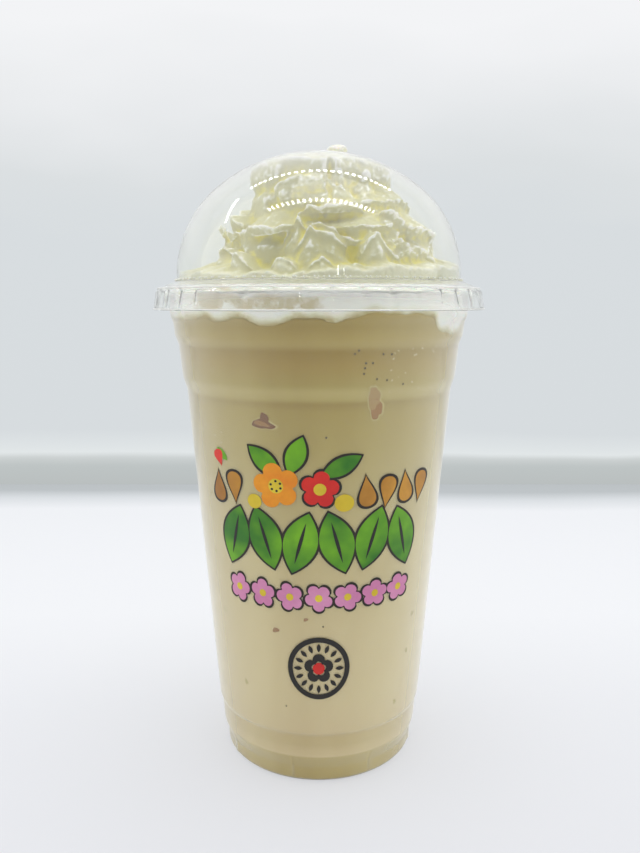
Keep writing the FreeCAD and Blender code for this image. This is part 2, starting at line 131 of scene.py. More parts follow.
class Nodes:
    """Short ways to add nodes to a tree."""

    def __init__(self, tree):
        self.tree = tree

    def link(self, source, socket):
        """Gives a socket a node's output or a plain value."""
        if isinstance(source, (float, int, tuple)):
            socket.default_value = source
        else:
            self.tree.links.new(source, socket)

    def settle(self, node, settings):
        for key, value in settings.items():
            socket = key.replace("_", " ")
            if socket in node.inputs:
                node.inputs[socket].default_value = value
            else:
                setattr(node, key, value)
        return node

    def add(self, kind, **settings):
        return self.settle(self.tree.nodes.new(kind), settings)

    def joint(self, node, sources, sockets, out=0):
        """Fills some of a node's sockets, by number, and gives its output."""
        for source, socket in zip(sources, sockets):
            self.link(source, node.inputs[socket])
        return node.outputs[out]

    def axes(self, kind="Object"):
        """The X, Y and Z of a place, or of a direction in the world."""
        split = self.add("ShaderNodeSeparateXYZ")
        self.link(self.add("ShaderNodeTexCoord").outputs[kind], split.inputs[0])
        return split.outputs

    def ray(self, kind):
        return self.add("ShaderNodeLightPath").outputs[f"Is {kind} Ray"]

    def noise(self, scale, detail=3.0, roughness=0.5, stretch=(1, 1, 1), distortion=0.0):
        place = self.add("ShaderNodeMapping", Scale=stretch)
        self.link(self.add("ShaderNodeTexCoord").outputs["Object"], place.inputs["Vector"])
        node = self.add("ShaderNodeTexNoise", Scale=scale, Detail=detail, Roughness=roughness, Distortion=distortion)
        return self.joint(node, place.outputs, [0])

    def stored(self, name):
        return self.add("ShaderNodeAttribute", attribute_name=name).outputs["Fac"]

    def ramp(self, factor, stops):
        node = self.add("ShaderNodeValToRGB")
        while len(node.color_ramp.elements) < len(stops):
            node.color_ramp.elements.new(0.5)
        for element, (position, colour) in zip(node.color_ramp.elements, stops):
            element.position = position
            element.color = colour
        return self.joint(node, [factor], [0])

    def smooth_range(self, value, low, high, start=0.0, end=1.0):
        node = self.add("ShaderNodeMapRange", interpolation_type="SMOOTHSTEP", From_Min=low, From_Max=high,
                        To_Min=start, To_Max=end)
        return self.joint(node, [value], [0])

    def maths(self, operation, *values):
        return self.joint(self.add("ShaderNodeMath", operation=operation), values, [0, 1])

    def between(self, share, first, second):
        """A number between two others."""
        return self.joint(self.add("ShaderNodeMix"), (share, first, second), (0, 2, 3))

    def blend(self, share, first, second, mode="MIX"):
        """A colour between two others, or their product."""
        node = self.add("ShaderNodeMix", data_type="RGBA", blend_type=mode)
        return self.joint(node, (share, first, second), (0, 6, 7), 2)

    def product(self, first, second):
        return self.blend(1.0, first, second, "MULTIPLY")


class Finish(Nodes):
    """A material with one Principled shader."""

    def __init__(self, name, **sockets):
        self.material = bpy.data.materials.new(name)
        self.material.use_nodes = True
        super().__init__(self.material.node_tree)
        self.shader = self.tree.nodes["Principled BSDF"]
        self.settle(self.shader, sockets)

    def bump(self, height, strength, distance):
        node = self.add("ShaderNodeBump", Strength=strength, Distance=distance)
        self.link(height, node.inputs["Height"])
        self.link(node.outputs["Normal"], self.shader.inputs["Normal"])

    def colour(self, source):
        self.link(source, self.shader.inputs["Base Color"])

    def grained(self, tone, grain, *stops):
        """The tone as the colour, a little darker or lighter with the grain."""
        self.colour(self.product(tone, self.ramp(grain, stops)))

    def glow(self, strength, tone=(1, 1, 1, 1)):
        return self.joint(self.add("ShaderNodeEmission", Strength=strength), [tone], [0])

    def show(self, shader):
        self.link(shader, self.tree.nodes["Material Output"].inputs["Surface"])

    def show_mixed(self, share, first, second):
        """The first shader, or a share of the second."""
        self.show(self.joint(self.add("ShaderNodeMixShader"), (share, first, second), (0, 1, 2)))


def clear_plastic(name, roughness, clearness, sheen):
    """Thin clear plastic with a breath of mist, paler where it is seen edge on."""
    finish = Finish(name, Base_Color=(0.985, 0.995, 0.99, 1.0), IOR=1.5, Transmission_Weight=clearness,
                    Sheen_Weight=sheen, Sheen_Roughness=0.5)
    mist = finish.ramp(finish.noise(60.0, 4.0), [(0.35, grey(roughness)), (0.7, grey(roughness * 2.5))])
    finish.link(mist, finish.shader.inputs["Roughness"])
    finish.bump(finish.noise(90.0, 2.0), 0.06, 0.0006)
    # Lamps shine straight through the wall, as they do through a thin clear sheet.
    straight = finish.maths("MAXIMUM", finish.ray("Shadow"), finish.ray("Diffuse"))
    sheet = finish.add("ShaderNodeBsdfTransparent", Color=(0.985, 0.99, 0.985, 1.0))
    finish.show_mixed(straight, finish.shader.outputs[0], sheet.outputs[0])
    return finish.material


def drink_finish():
    """Blended drink, faintly streaked and mottled: paler towards the foot, partly its own tone and partly a painted
    veil of reflection, with a painted reflection paler at the sides and painted shade and highlights at the wall's
    ledges and on the foot's ribs.
    """
    finish = Finish("blended_drink", Roughness=0.5, Subsurface_Weight=0.1, Subsurface_Scale=0.004,
                    Subsurface_Radius=(1.0, 0.8, 0.5), Specular_IOR_Level=0.05)
    x, y, z = finish.axes()
    full = 140.0
    # Colour by height: the drink's own tone, browner upwards, and paler towards the foot, partly a painted veil of
    # reflection. The narrow darker and lighter bands at the foot's edge and at the wall's ledges are painted shade and
    # highlights.
    body = finish.ramp(finish.maths("DIVIDE", z, full * MM), tones([
        (0, 192, 171, 104), (8.7, 197, 177, 112), (9.2, 224, 204, 156), (11, 219, 198, 148), (13, 209, 188, 134),
        (16.6, 207, 185, 130), (17.6, 221, 201, 154), (30, 222, 204, 154), (50, 219, 201, 150), (76, 207, 190, 133),
        (104, 183, 164, 91), (114, 178, 157, 81), (116.6, 166, 143, 69), (117.8, 189, 171, 98),
        (119.6, 194, 177, 106), (121.6, 178, 158, 81), (127, 173, 146, 66), (130.6, 162, 135, 55),
        (132.2, 182, 160, 86), (134.2, 181, 158, 82), (137.2, 169, 145, 67),
    ], full))
    # Painted highlight and shade on the foot's ribs: below 8.7 mm the colour turns lighter, then darker, across each
    # of the eight ribs.
    azimuth = finish.maths("ARCTAN2", x, finish.maths("MULTIPLY", y, -1.0))
    eighths = finish.maths("ADD", finish.maths("MULTIPLY", azimuth, 4.0 / math.pi), 8.833)
    corner = finish.ramp(finish.maths("FRACT", eighths), [
        (0.46, grey(1)), (0.485, (1.1, 1.12, 1.1, 1)), (0.505, (0.9, 0.86, 0.8, 1)), (0.53, grey(1)),
    ])
    in_foot = finish.maths("LESS_THAN", z, 8.7 * MM)
    body = finish.blend(in_foot, body, finish.product(body, corner))
    # Painted reflection: the drink turns paler towards its sides along X, where the clear wall mirrors the bright
    # tent.
    squares = [finish.maths("POWER", axis, 2.0) for axis in (x, y)]
    whole = finish.maths("MAXIMUM", finish.maths("ADD", *squares), 1e-6)
    side_reflection = finish.maths("DIVIDE", squares[0], whole)
    side_reflection = finish.ramp(side_reflection, [(0.02, grey(0)), (0.22, grey(0.17)), (0.7, grey(0.24))])
    body = finish.blend(side_reflection, body, linear(240, 231, 184))
    streaks = finish.noise(26.0, 5.0, 0.6, (1, 1, 0.25), 0.6)
    finish.grained(body, streaks, (0.3, (0.9, 0.87, 0.82, 1)), (0.7, (1.07, 1.09, 1.12, 1)))
    finish.bump(finish.noise(420.0, 3.0), 0.12, 0.0004)
    return finish.material


def cream_finish():
    """Whipped cream: off-white, with painted highlights near white on its crests and painted shade, darker and
    yellower, in its hollows.
    """
    finish = Finish("whipped_cream", Roughness=0.5, Specular_IOR_Level=0.2, Subsurface_Weight=0.25,
                    Subsurface_Scale=0.0012, Subsurface_Radius=(1.0, 0.85, 0.45))
    # Painted shade and highlights from the stored hollow depth: crests near white, faces greyer, deep hollows yellow.
    tone = finish.ramp(finish.stored("hollow"), tones([
        (0, 255, 255, 252), (0.13, 237, 237, 216), (0.3, 208, 206, 162), (0.5, 213, 209, 158), (0.75, 232, 226, 146),
        (1, 244, 236, 118),
    ]))
    finish.grained(tone, finish.noise(120.0, 4.0), (0.35, (0.96, 0.955, 0.93, 1)), (0.65, grey(1)))
    finish.bump(finish.noise(900.0, 4.0, 0.6), 0.25, 0.0005)
    return finish.material


def collar_finish():
    """Cream against the cup's wall: tan where it thins out at the seam, and stained under the skirt."""
    finish = Finish("cream_at_wall", Roughness=0.5, Subsurface_Weight=0.2, Subsurface_Scale=0.003,
                    Specular_IOR_Level=0.1)
    cloud = finish.maths("SUBTRACT", finish.noise(170.0, 5.0, 0.65), 0.5)

    def clouded(name, share):
        return finish.maths("ADD", finish.stored(name), finish.maths("MULTIPLY", cloud, share))

    thick = finish.ramp(clouded("rise", 1.1), tones([
        (0, 192, 175, 118), (0.25, 218, 211, 172), (0.5, 243, 241, 220), (0.8, 253, 253, 244),
    ]))
    stain = finish.smooth_range(clouded("stain", 1.6), 0.45, 0.8)
    finish.colour(finish.blend(stain, thick, linear(202, 187, 140)))
    return finish.material


def ink(name, light, dark):
    """Print on the cup, or a mark in the drink: two shades that run into each other."""
    finish = Finish(name, Roughness=0.35)
    shade = finish.ramp(finish.noise(55.0, 3.0), tones([(0.38, *dark), (0.62, *light)]))
    finish.grained(shade, finish.noise(900.0, 3.0), (0.3, grey(0.94)), (0.7, grey(1)))
    return finish.material


# ---- Modelling helpers ----

def finished(piece, material, node=None):
    """Gives a piece its material, and its place in the frame."""
    piece.data.shade_smooth()
    piece.data.materials.clear()
    piece.data.materials.append(material)
    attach(piece, "root")
    if node:
        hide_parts(node)
    bpy.ops.object.select_all(action="DESELECT")


def joined(parts, name):
    """The parts as one piece."""
    bpy.ops.object.select_all(action="DESELECT")
    for part in parts:
        part.select_set(True)
    bpy.context.view_layer.objects.active = parts[0]
    if len(parts) > 1:
        bpy.ops.object.join()
    piece = bpy.context.object
    piece.name = name
    return piece


def edit_all():
    bpy.ops.object.mode_set(mode="EDIT")
    bpy.ops.mesh.select_all(action="SELECT")


def soft_corners(points, radius, steps=3):
    """The line through points with its inner corners rounded off."""
    line = [points[0]]
    for trio in zip(points, points[1:], points[2:]):
        before, corner, after = map(Vector, trio)
        cut = min(radius, 0.45 * (before - corner).length, 0.45 * (after - corner).length)
        start, end = (corner + (other - corner).normalized() * cut for other in (before, after))
        for share in np.linspace(0, 1, steps + 1):
            line.append(tuple(start.lerp(corner, share).lerp(corner.lerp(end, share), share)))
    return line + [points[-1]]


def arc(centre, radius, start, end, steps):
    """Points on an arc from one angle to another, in degrees."""
    angles = np.radians(np.linspace(start, end, steps + 1))
    return [(centre[0] + radius * math.cos(a), centre[1] + radius * math.sin(a)) for a in angles]


def turned(name, line, steps):
    """A piece turned on the upright axis from a line of radius and height, drawn vertex by vertex."""
    bpy.ops.mesh.primitive_plane_add(size=MM, location=(0, 0, 0))
    piece = bpy.context.object
    piece.name = name
    edit_all()
    bpy.ops.mesh.merge(type="CENTER")
    bpy.ops.transform.translate(value=(line[0][0] * MM, 0, line[0][1] * MM))
    for (radius, height), (next_radius, next_height) in zip(line, line[1:]):
        step = ((next_radius - radius) * MM, 0, (next_height - height) * MM)
        bpy.ops.mesh.extrude_vertices_move(TRANSFORM_OT_translate={"value": step})
    bpy.ops.mesh.select_all(action="SELECT")
    bpy.ops.mesh.spin(steps=steps, angle=math.tau, center=(0, 0, 0), axis=(0, 0, 1))
    bpy.ops.mesh.select_all(action="SELECT")
    bpy.ops.mesh.remove_doubles(threshold=0.002 * MM)
    bpy.ops.mesh.normals_make_consistent(inside=False)
    bpy.ops.object.mode_set(mode="OBJECT")
    return piece


def rows(data, key):
    """The three numbers that each point or face of a mesh has under a key."""
    flat = np.empty(len(data) * 3)
    data.foreach_get(key, flat)
    return flat.reshape(-1, 3)


def points_of(piece):
    """The piece's points in millimetres."""
    return rows(piece.data.vertices, "co") / MM


def set_points(piece, points):
    piece.data.vertices.foreach_set("co", (points * MM).ravel())
    piece.data.update()


def store(piece, name, values):
    """Gives each point a number that the piece's finish reads."""
    attribute = piece.data.attributes.new(name, "FLOAT", "POINT")
    attribute.data.foreach_set("value", values.astype(np.float32))


def around(angle, radius, height):
    """Points at an angle from the front, in radians."""
    return np.column_stack((radius * np.sin(angle), -radius * np.cos(angle), height))


def azimuth_of(points):
    return np.degrees(np.arctan2(points[:, 0], -points[:, 1]))


def radius_of(points):
    return np.hypot(points[:, 0], points[:, 1])


def angle_apart(azimuth, other):
    return (azimuth - other + 180.0) % 360.0 - 180.0


def smooth_step(value, low, high):
    share = np.clip((value - low) / (high - low), 0.0, 1.0)
    return share * share * (3.0 - 2.0 * share)


def up_and_down(value, low, high, back, gone):
    """Rises from 0 to 1 between low and high, and falls again between back and gone."""
    return smooth_step(value, low, high) * (1 - smooth_step(value, back, gone))


# ---- Cup ----

def cup_line(inset):
    """The cup's outer line from the foot ring to the rim, moved inwards by inset."""
    return [(radius - inset, height) for radius, height in CUP_CORNERS]


RIBS = 8
FIRST_RIB = -15.0
RIB_WIDTH = 1.3
RIB_DEPTH = 0.35


def make_cup():
    """Clear formed wall with soft ledges, a rolled rim, a raised floor and a ribbed foot."""
    foot = [(0.0, FLOOR), (FLOOR_RADIUS, FLOOR), (26.95, 0.0), (RING_RADIUS, 0.0)]
    outside = soft_corners(foot + cup_line(0.0), BEND)
    roll = arc((RIM_RADIUS - ROLL, ROLL_HEIGHT), ROLL, -130.0, 180.0, 16)
    top = FLOOR + CUP_WALL
    inner_foot = [(RING_RADIUS, CUP_WALL), (27.4, CUP_WALL), (FLOOR_RADIUS + CUP_WALL, top), (0.0, top)]
    inside = soft_corners(cup_line(CUP_WALL)[::-1] + inner_foot, BEND)
    piece = turned("cup_wall", outside + roll + inside, 240)
    points = points_of(piece)
    ribs = np.zeros(len(points))
    for index in range(RIBS):
        apart = angle_apart(azimuth_of(points), FIRST_RIB + 360.0 / RIBS * index)
        ribs += np.exp(-((apart / RIB_WIDTH) ** 2))
    on_foot = up_and_down(points[:, 2], 0.6, 1.6, FOOT_HEIGHT, 6.4) * (radius_of(points) > RING_RADIUS + 0.1)
    points[:, :2] *= (1.0 + ribs * on_foot * RIB_DEPTH / FOOT_RADIUS)[:, None]
    set_points(piece, points)
    finished(piece, clear_plastic("cup_clear_plastic", 0.03, 0.96, 0.9), "cup")


# ---- Lid ----

def lid_line(inset):
    """The lid's line from the hole over the dome and flange to the skirt's lower edge, moved inwards by inset."""
    hole_lean = math.degrees(math.acos(HOLE_RADIUS / (CROWN_RADIUS - inset)))
    crown = arc((0, CROWN_CENTRE), CROWN_RADIUS - inset, hole_lean, math.degrees(JOIN_LEAN), 12)
    side = arc((SIDE_CENTRE, DOME_BASE), SIDE_ARC - inset, math.degrees(JOIN_LEAN), 0.0, 12)[1:]
    flange = [
        (DOME_RADIUS - inset, 149.75 - inset),
        (44.3, 149.35 - inset),
        (48.8 - inset * 0.7, 147.45 - inset),
        (49.6 - inset, 146.6 - inset),
        (50.4 - inset, SKIRT_LOW + 0.5),
        (SKIRT_RADIUS - inset, SKIRT_LOW),
    ]
    return crown + side[:-1] + soft_corners([side[-1]] + flange, 0.5)


GRIPS = 40
GRIP_WIDTH = 0.85
GRIP_DEPTH = 0.75
TAB_AZIMUTHS = (-36.0, 36.0)
TAB_DEPTH = 0.35
BAND_RADIUS = 50.0

BEADS = 200
BEAD_RADIUS = 43.75
BEAD_HEIGHT = 149.95


def make_lid():
    """Clear dome with a straw hole, a sloping flange, and a skirt pinched in by upright grips."""
    outside = lid_line(0.0)
    piece = turned("lid_dome", outside + lid_line(LID_WALL)[::-1] + outside[:1], 480)
    points = points_of(piece)
    azimuths = azimuth_of(points)
    band = up_and_down(points[:, 2], 141.9, 142.6, 146.0, 146.8) * (radius_of(points) > BAND_RADIUS - 2.0)
    pitch = 360.0 / GRIPS
    from_grip = np.abs((azimuths + 180.0 * 3) % pitch - pitch / 2)
    pinch = np.exp(-((from_grip / GRIP_WIDTH) ** 2)) * GRIP_DEPTH
    for middle in TAB_AZIMUTHS:
        panel = 1 - smooth_step(np.abs(angle_apart(azimuths, middle)), 4.3, 5.0)
        pinch = pinch * (1 - panel) - panel * TAB_DEPTH
    points[:, :2] *= (1.0 - pinch * band / BAND_RADIUS)[:, None]
    set_points(piece, points)
    finished(piece, clear_plastic("lid_clear_plastic", 0.015, 0.94, 0.2), "lid")
    make_lid_edges()


def make_lid_edges():
    """The rolled edges of the flange and skirt, and a row of fine beads round the foot of the dome, in opaque
    near-white plastic: painted highlights for the bright edges and glints of the clear lid.
    """
    parts = [turned("lid_edge", arc(middle, 0.17, 0.0, 360.0, 8), 240)
             for middle in ((49.15, 147.35), (SKIRT_RADIUS - 0.3, SKIRT_LOW + 0.3))]
    for index in range(BEADS):
        angle = math.radians(360.0 / BEADS * index + 0.5 * math.sin(3.1 * index))
        place = Vector((BEAD_RADIUS * math.sin(angle), -BEAD_RADIUS * math.cos(angle), BEAD_HEIGHT)) * MM
        size = 0.2 + 0.1 * math.sin(2.3 * index) ** 2
        bpy.ops.mesh.primitive_ico_sphere_add(subdivisions=1, radius=size * MM, location=place)
        parts.append(bpy.context.object)
    # Painted highlight: the clear lid's edges and beads are made near-white and opaque so they show as bright lines
    # and glints.
    finish = Finish("lid_edge_painted_highlight", Base_Color=(0.96, 0.965, 0.95, 1.0), IOR=1.5)
    mist = finish.ramp(finish.noise(200.0), [(0.3, grey(0.08)), (0.7, grey(0.3))])
    finish.link(mist, finish.shader.inputs["Roughness"])
    finished(joined(parts, "lid_edges"), finish.material, "lid")


# ---- Whipped cream ----
# The mound is pulled out along rays from its heart to the outermost of its tiers and fins, thin
# lips are added, and all is remeshed into one skin. Every form below is laid out by azimuth.

AROUND = 600
RINGS = 150
MOUND_RINGS = 128
COLUMNS = np.arange(AROUND) * 360.0 / AROUND
BALL = 40.0
HEART_HEIGHT = 147.2
MOUND_FOOT = 43.6
CUT_HEIGHT = 146.4
VOXEL = 0.45
CREAM_GAP = 0.12
HOLE_UNDER = CROWN_CENTRE + math.sqrt((CROWN_RADIUS - LID_WALL) ** 2 - HOLE_RADIUS**2)
MOUND_TOP = HOLE_UNDER - 4 * CREAM_GAP

# The skirt of cream round the foot of the dome: its reach, the height of its edge at the front,
# how much that rises to the right, and how much it rises inwards at the sides for each millimetre.
SHELF = (42.8, 151.5, 1.3, 0.35)

# A round tier: mean radius, lean to the right, height of its lip at the front, rise to the right,
# how far below its top the lip lies, depth of the hollow under it, and how steeply it rises inwards.
TIERS = (
    (31.4, 3.6, 163.7, 0.6, 0.0, 2.4, 0.75),
    (24.0, 4.2, 170.9, 1.6, 0.0, 1.8, 0.9),
    (21.4, 1.0, 187.0, 0.0, 8.5, 2.6, 0.0),
)
HOLLOW_HEIGHT = 5.2

# A torn fin: its crest as azimuths and heights, the height where it ends, and its radius at the
# crest and at that end. One whose foot lies further in than its crest is an overhanging lip.
FINS = [
    (((-17, 153.6), (-10, 158.6), (-4.4, 164.1), (-1, 163.0), (3, 162.2), (7, 161.5), (12, 159.1), (15.6, 158.2)),
     149.5, 32.2, 36.5),
    (((-21, 159.6), (-16, 163.4), (-11.7, 166.9), (-9, 164.2), (-5, 161.0)), 155.0, 29.2, 32.0),
    (((18.2, 152.0), (20.6, 157.4), (23.6, 160.4), (26.4, 162.6), (27.8, 162.4), (30, 159.9), (33, 157.4), (38, 154.8),
      (44, 152.6), (50, 150.4)), 149.5, 35.6, 40.2),
    (((-14, 167.4), (-5.5, 168.8), (7, 170.1), (19.5, 170.2), (27, 169.0), (33, 167.0)), 166.3, 27.0, 22.5),
    (((-37, 175.2), (-28, 177.4), (-21, 177.8), (-14, 178.6), (2, 177.5), (6, 175.8)), 173.0, 22.6, 20.0),
    (((-45, 151.0), (-41, 156.0), (-38.5, 156.9), (-35, 155.2), (-28, 151.6)), 149.5, 37.0, 38.8),
    (((-21, 152.0), (-18, 154.9), (-14.5, 155.2), (-11, 154.0), (-8, 151.5)), 149.5, 38.2, 40.2),
    (((-5, 151.6), (-2, 154.2), (1.5, 155.8), (5, 153.8), (8, 151.8)), 149.5, 37.6, 40.0),
    (((37, 166.6), (41, 168.4), (46, 168.0), (52, 166.0), (60, 163.4), (67, 161.0)), 158.0, 31.0, 34.0),
    (((34, 158.6), (38, 161.0), (43, 159.8), (50, 156.4)), 153.0, 33.6, 35.2),
    (((50, 154.8), (55, 158.8), (59, 157.6), (64, 159.4), (68, 157.8), (75, 154.0)), 149.5, 36.4, 39.4),
    (((72, 160.0), (78, 163.4), (85, 162.0), (93, 158.0)), 150.0, 35.4, 38.6),
    (((-74, 154.0), (-66, 158.6), (-60, 158.8), (-52, 155.0)), 149.5, 32.4, 35.4),
    (((10, 153.0), (15, 153.9), (20, 152.6)), 149.5, 38.5, 40.5),
]

# Dents and lumps: azimuth, height, half width and half height, and how deep (out if negative).
# Their half widths are true at this radius.
DENT_RADIUS = 26.0
DENTS = [
    (9.0, 167.3, 9.6, 2.7, 2.4), (29.0, 173.4, 1.7, 1.5, 3.4), (9.0, 180.0, 1.3, 9.0, 3.4),
    (45.0, 164.6, 2.6, 2.2, 3.0), (48.0, 160.2, 2.2, 2.4, 3.0), (59.0, 154.4, 2.2, 1.8, 2.6),
    (17.6, 156.0, 1.7, 4.6, 1.8), (-37.0, 171.0, 3.4, 1.7, 2.6), (-27.0, 160.6, 6.0, 1.8, 0.6),
    (-2.0, 174.6, 5.0, 1.8, 1.6), (27.0, 181.0, 5.0, 6.0, 1.4), (-55.0, 157.0, 4.5, 2.2, 1.6),
    (53.0, 164.0, 2.6, 1.8, -1.8), (66.0, 165.6, 3.0, 1.8, -1.4), (40.0, 156.4, 2.4, 1.8, -1.4),
    (-27.0, 173.0, 3.0, 2.0, -1.4), (38.0, 176.0, 3.0, 2.2, -1.2), (-20.0, 181.6, 6.0, 3.4, 1.5),
    (-38.0, 184.0, 4.0, 3.0, 1.6), (-4.0, 184.6, 2.6, 2.4, 1.3), (22.0, 184.2, 3.4, 3.0, 1.6),
    (39.0, 183.0, 4.0, 3.4, 1.4), (-30.0, 186.0, 3.0, 1.6, -1.0),
]

# The lump in the straw hole: how far across and back, half width, height of its top and its droop.
LUMP = (5.7, 0.0, 3.2, 190.5, 1.3)

# The dip beside the lump: how far across, half width, height of its bottom and its rise to its edge.
DIP = (-4.6, 7.0, 180.6, 6.0)


def add_back_forms():
    """Fins, lips and dents round the sides and back, uneven as the torn swirl is at the front."""
    for index in range(9):
        middle = 104.0 + index * 19.5 + 4.0 * math.sin(2.1 * index)
        crest = 160.5 + 4.0 * math.sin(1.7 * index + 0.6)
        half = 12.0 + 2.5 * math.cos(2.9 * index)
        reach = 32.5 + 1.5 * math.sin(1.3 * index)
        lean = 0.35 * math.sin(4.3 * index)
        line = [(middle + half * share, crest - (crest - 151.0) * abs(share - lean) ** 1.25 * drop)
                for share, drop in ((-1.0, 1.0), (-0.55, 0.85), (-0.2, 0.9), (lean, 0.0), (0.45, 1.1), (1.0, 1.0))]
        FINS.append((tuple(sorted(line)), 149.5, reach, 37.5))
        DENTS.append((middle + half, crest - 4.0, 2.2, 3.0, 2.6))
    for index in range(8):
        middle = 78.0 + index * 29.0
        top = 168.6 + 2.2 * math.sin(2.3 * index)
        line = ((middle - 15, top - 2.5), (middle - 6, top + 0.6), (middle + 4, top + 1.2), (middle + 13, top - 1.6))
        FINS.append((line, top - 4.5, 26.8 + math.sin(1.9 * index), 23.0))
        DENTS.append((middle + 9, top - 3.0, 4.5, 2.0, 2.2))
        DENTS.append((middle - 8, 174.0 + 2.0 * math.cos(3.1 * index), 3.0, 2.4, 2.4))
        DENTS.append((middle + 3, 157.0 + 2.0 * math.sin(3.7 * index), 2.6, 2.2, 2.2))


def ripple(turns, shift=0.0):
    """A wave round the mound, for every column. One turn is 1 at the right and -1 at the left."""
    return np.sin(np.radians(turns * COLUMNS + shift))


def ragged(scale, seed):
    """An uneven line round the mound, for every column, that meets where the circle closes."""
    return sum(ripple(round(scale * 1.7**step), math.degrees(seed * (step + 1.3))) / step**0.8
               for step in range(1, 6)) / 2.6


def shelf_form():
    reach, edge, rise, slope = SHELF
    front = np.clip(ripple(1, 90.0), 0, 1) ** 2
    top = edge + rise * ripple(1) + 0.9 * (1 - front) + 0.4 * ripple(5) + 1.1 * ragged(8, 3.0)
    slope = slope * (1 - 0.8 * front)

    def inside(radius, height, column):
        return (radius < reach) & (height < top[column] + slope[column] * (reach - radius))
    return inside


def tier_form(tier):
    reach, lean, top, rise, lip, hollow, slope = tier
    crest = top + rise * ripple(1) + 0.5 * ripple(5, 20 * reach) + 0.5 * ragged(9, reach)
    edge = reach + lean * ripple(1) + 0.6 * ripple(7, 35 * reach) + 0.5 * ragged(6, reach + 2)
    edge -= (reach - TIERS[-1][0]) * 0.28 * np.exp(-((angle_apart(COLUMNS, 4.0) / 26.0) ** 2))
    depth_here = hollow * np.clip(0.85 + 0.6 * ragged(3, reach + 5), 0.2, 1.4)

    def inside(radius, height, column):
        depth = (crest[column] - lip - height) / HOLLOW_HEIGHT
        cut = depth_here[column] * np.sin(np.pi * np.clip(depth, 0, 1)) - 0.8 * np.clip(depth - 1.0, 0, None)
        here = edge[column]
        return (height < crest[column] + slope * np.clip(here - 1.3 - radius, 0, None)) & (radius < here - cut)
    return inside


def fin_form(fin):
    """A form that is only looked at in the columns it spans."""
    line, floor, crest_radius, foot_radius = fin
    azimuths, heights = zip(*line)
    middle = (azimuths[0] + azimuths[-1]) / 2
    half = (azimuths[-1] - azimuths[0]) / 2
    apart = angle_apart(COLUMNS, middle)
    spans = np.abs(apart) < half
    crest = np.interp(middle + apart, azimuths, heights) + 0.55 * ragged(13, crest_radius)
    peak = max(heights)
    bow = 1.2 * (apart / half) ** 2 if foot_radius > crest_radius else 0.8 * (apart / half) ** 2

    def inside(radius, height, column):
        found = np.zeros(len(radius), bool)
        near = np.nonzero(spans[column])[0]
        radius, height, column = radius[near], height[near], column[near]
        drop = np.clip((crest[column] - height) / (peak - floor), 0, 1.4)
        edge = crest_radius + (foot_radius - crest_radius) * drop**1.5 - bow[column]
        if foot_radius > crest_radius:
            edge = edge - 0.9 * np.sin(np.pi * np.clip(drop / 0.35, 0, 1))
            edge = edge + 0.3 * np.sin(0.35 * height + 0.17 * column)
        found[near] = (height < crest[column]) & (radius < edge) & (drop < 1.4)
        return found
    return inside


def dent_depth(radius, height, column):
    """How much the dents and lumps move the surface inwards."""
    total = np.zeros(len(radius))
    for middle, level, half_width, half_height, depth in DENTS:
        across = np.radians(angle_apart(COLUMNS, middle)) * DENT_RADIUS / half_width
        near = np.nonzero((np.abs(across) < 1.0)[column] & (np.abs(height - level) < half_height))[0]
        apart = across[column[near]] ** 2 + ((height[near] - level) / half_height) ** 2
        total[near] += depth * np.clip(1.0 - apart, 0, 1) ** 0.8
    return total


def on_side(radius, column):
    """The point across and back, seen from above."""
    angle = np.radians(COLUMNS[column])
    return radius * np.sin(angle), -radius * np.cos(angle)


def under_lid(radius, height):
    gap = LID_WALL + CREAM_GAP
    low = (height < DOME_BASE) & (radius < DOME_RADIUS - gap)
    side = np.hypot(radius - SIDE_CENTRE, height - DOME_BASE) < SIDE_ARC - gap
    crown = np.hypot(radius, height - CROWN_CENTRE) < CROWN_RADIUS - gap
    dome = (height >= DOME_BASE) & np.where(radius > CROWN_RADIUS * math.cos(JOIN_LEAN), side, crown)
    near_hole = (radius < HOLE_RADIUS + 2.2) & (height > DOME_BASE)
    through = (height < MOUND_TOP) | (radius < HOLE_RADIUS - 1.2)
    return low | np.where(near_hole, through, dome)


def cream_tester():
    forms = [shelf_form()] + [tier_form(tier) for tier in TIERS] + [fin_form(fin) for fin in FINS]

    def inside(radius, height, column):
        found = np.zeros(len(radius), bool)
        reach = radius + dent_depth(radius, height, column)
        for form in forms:
            left = np.nonzero(~found)[0]
            found[left] = form(reach[left], height[left], column[left])
        x, y = on_side(radius, column)
        across, width, bottom, rise = DIP
        apart = np.hypot(x - across, y) / width
        found &= ~((apart < 1.0) & (height > bottom + rise * apart**2)) & (height < MOUND_TOP)
        across, back, width, top, droop = LUMP
        apart = np.hypot(x - across, y - back) / width
        found |= (apart < 1.0) & (height < top - droop * apart**2)
        return found & under_lid(radius, height)
    return inside


def ray_ends(columns, slopes):
    """How far each ray from the heart of the mound runs before it leaves the cream for good."""
    inside = cream_tester()
    across, up = np.cos(np.radians(slopes)), np.sin(np.radians(slopes))
    longest, shortest, step = 47.0, 8.0, 0.6
    found = np.full(len(columns), shortest)
    waiting = np.arange(len(columns))
    for length in np.arange(longest, shortest, -step):
        hit = inside(length * across[waiting], HEART_HEIGHT + length * up[waiting], columns[waiting])
        found[waiting[hit]] = length
        waiting = waiting[~hit]
    low, high = found, found + step
    for _ in range(4):
        middle = (low + high) / 2
        hit = inside(middle * across, HEART_HEIGHT + middle * up, columns)
        low, high = np.where(hit, middle, low), np.where(hit, high, middle)
    return low


# Lobes of cream that hang below the seam: azimuth, half width, depth and how square their ends are.
LOBES = ((-16.0, 9.0, 2.6, 2), (5.0, 6.5, 2.2, 2), (57.0, 12.0, 5.0, 6), (-36.0, 5.0, 0.9, 4), (-62.0, 16.0, 1.2, 2))


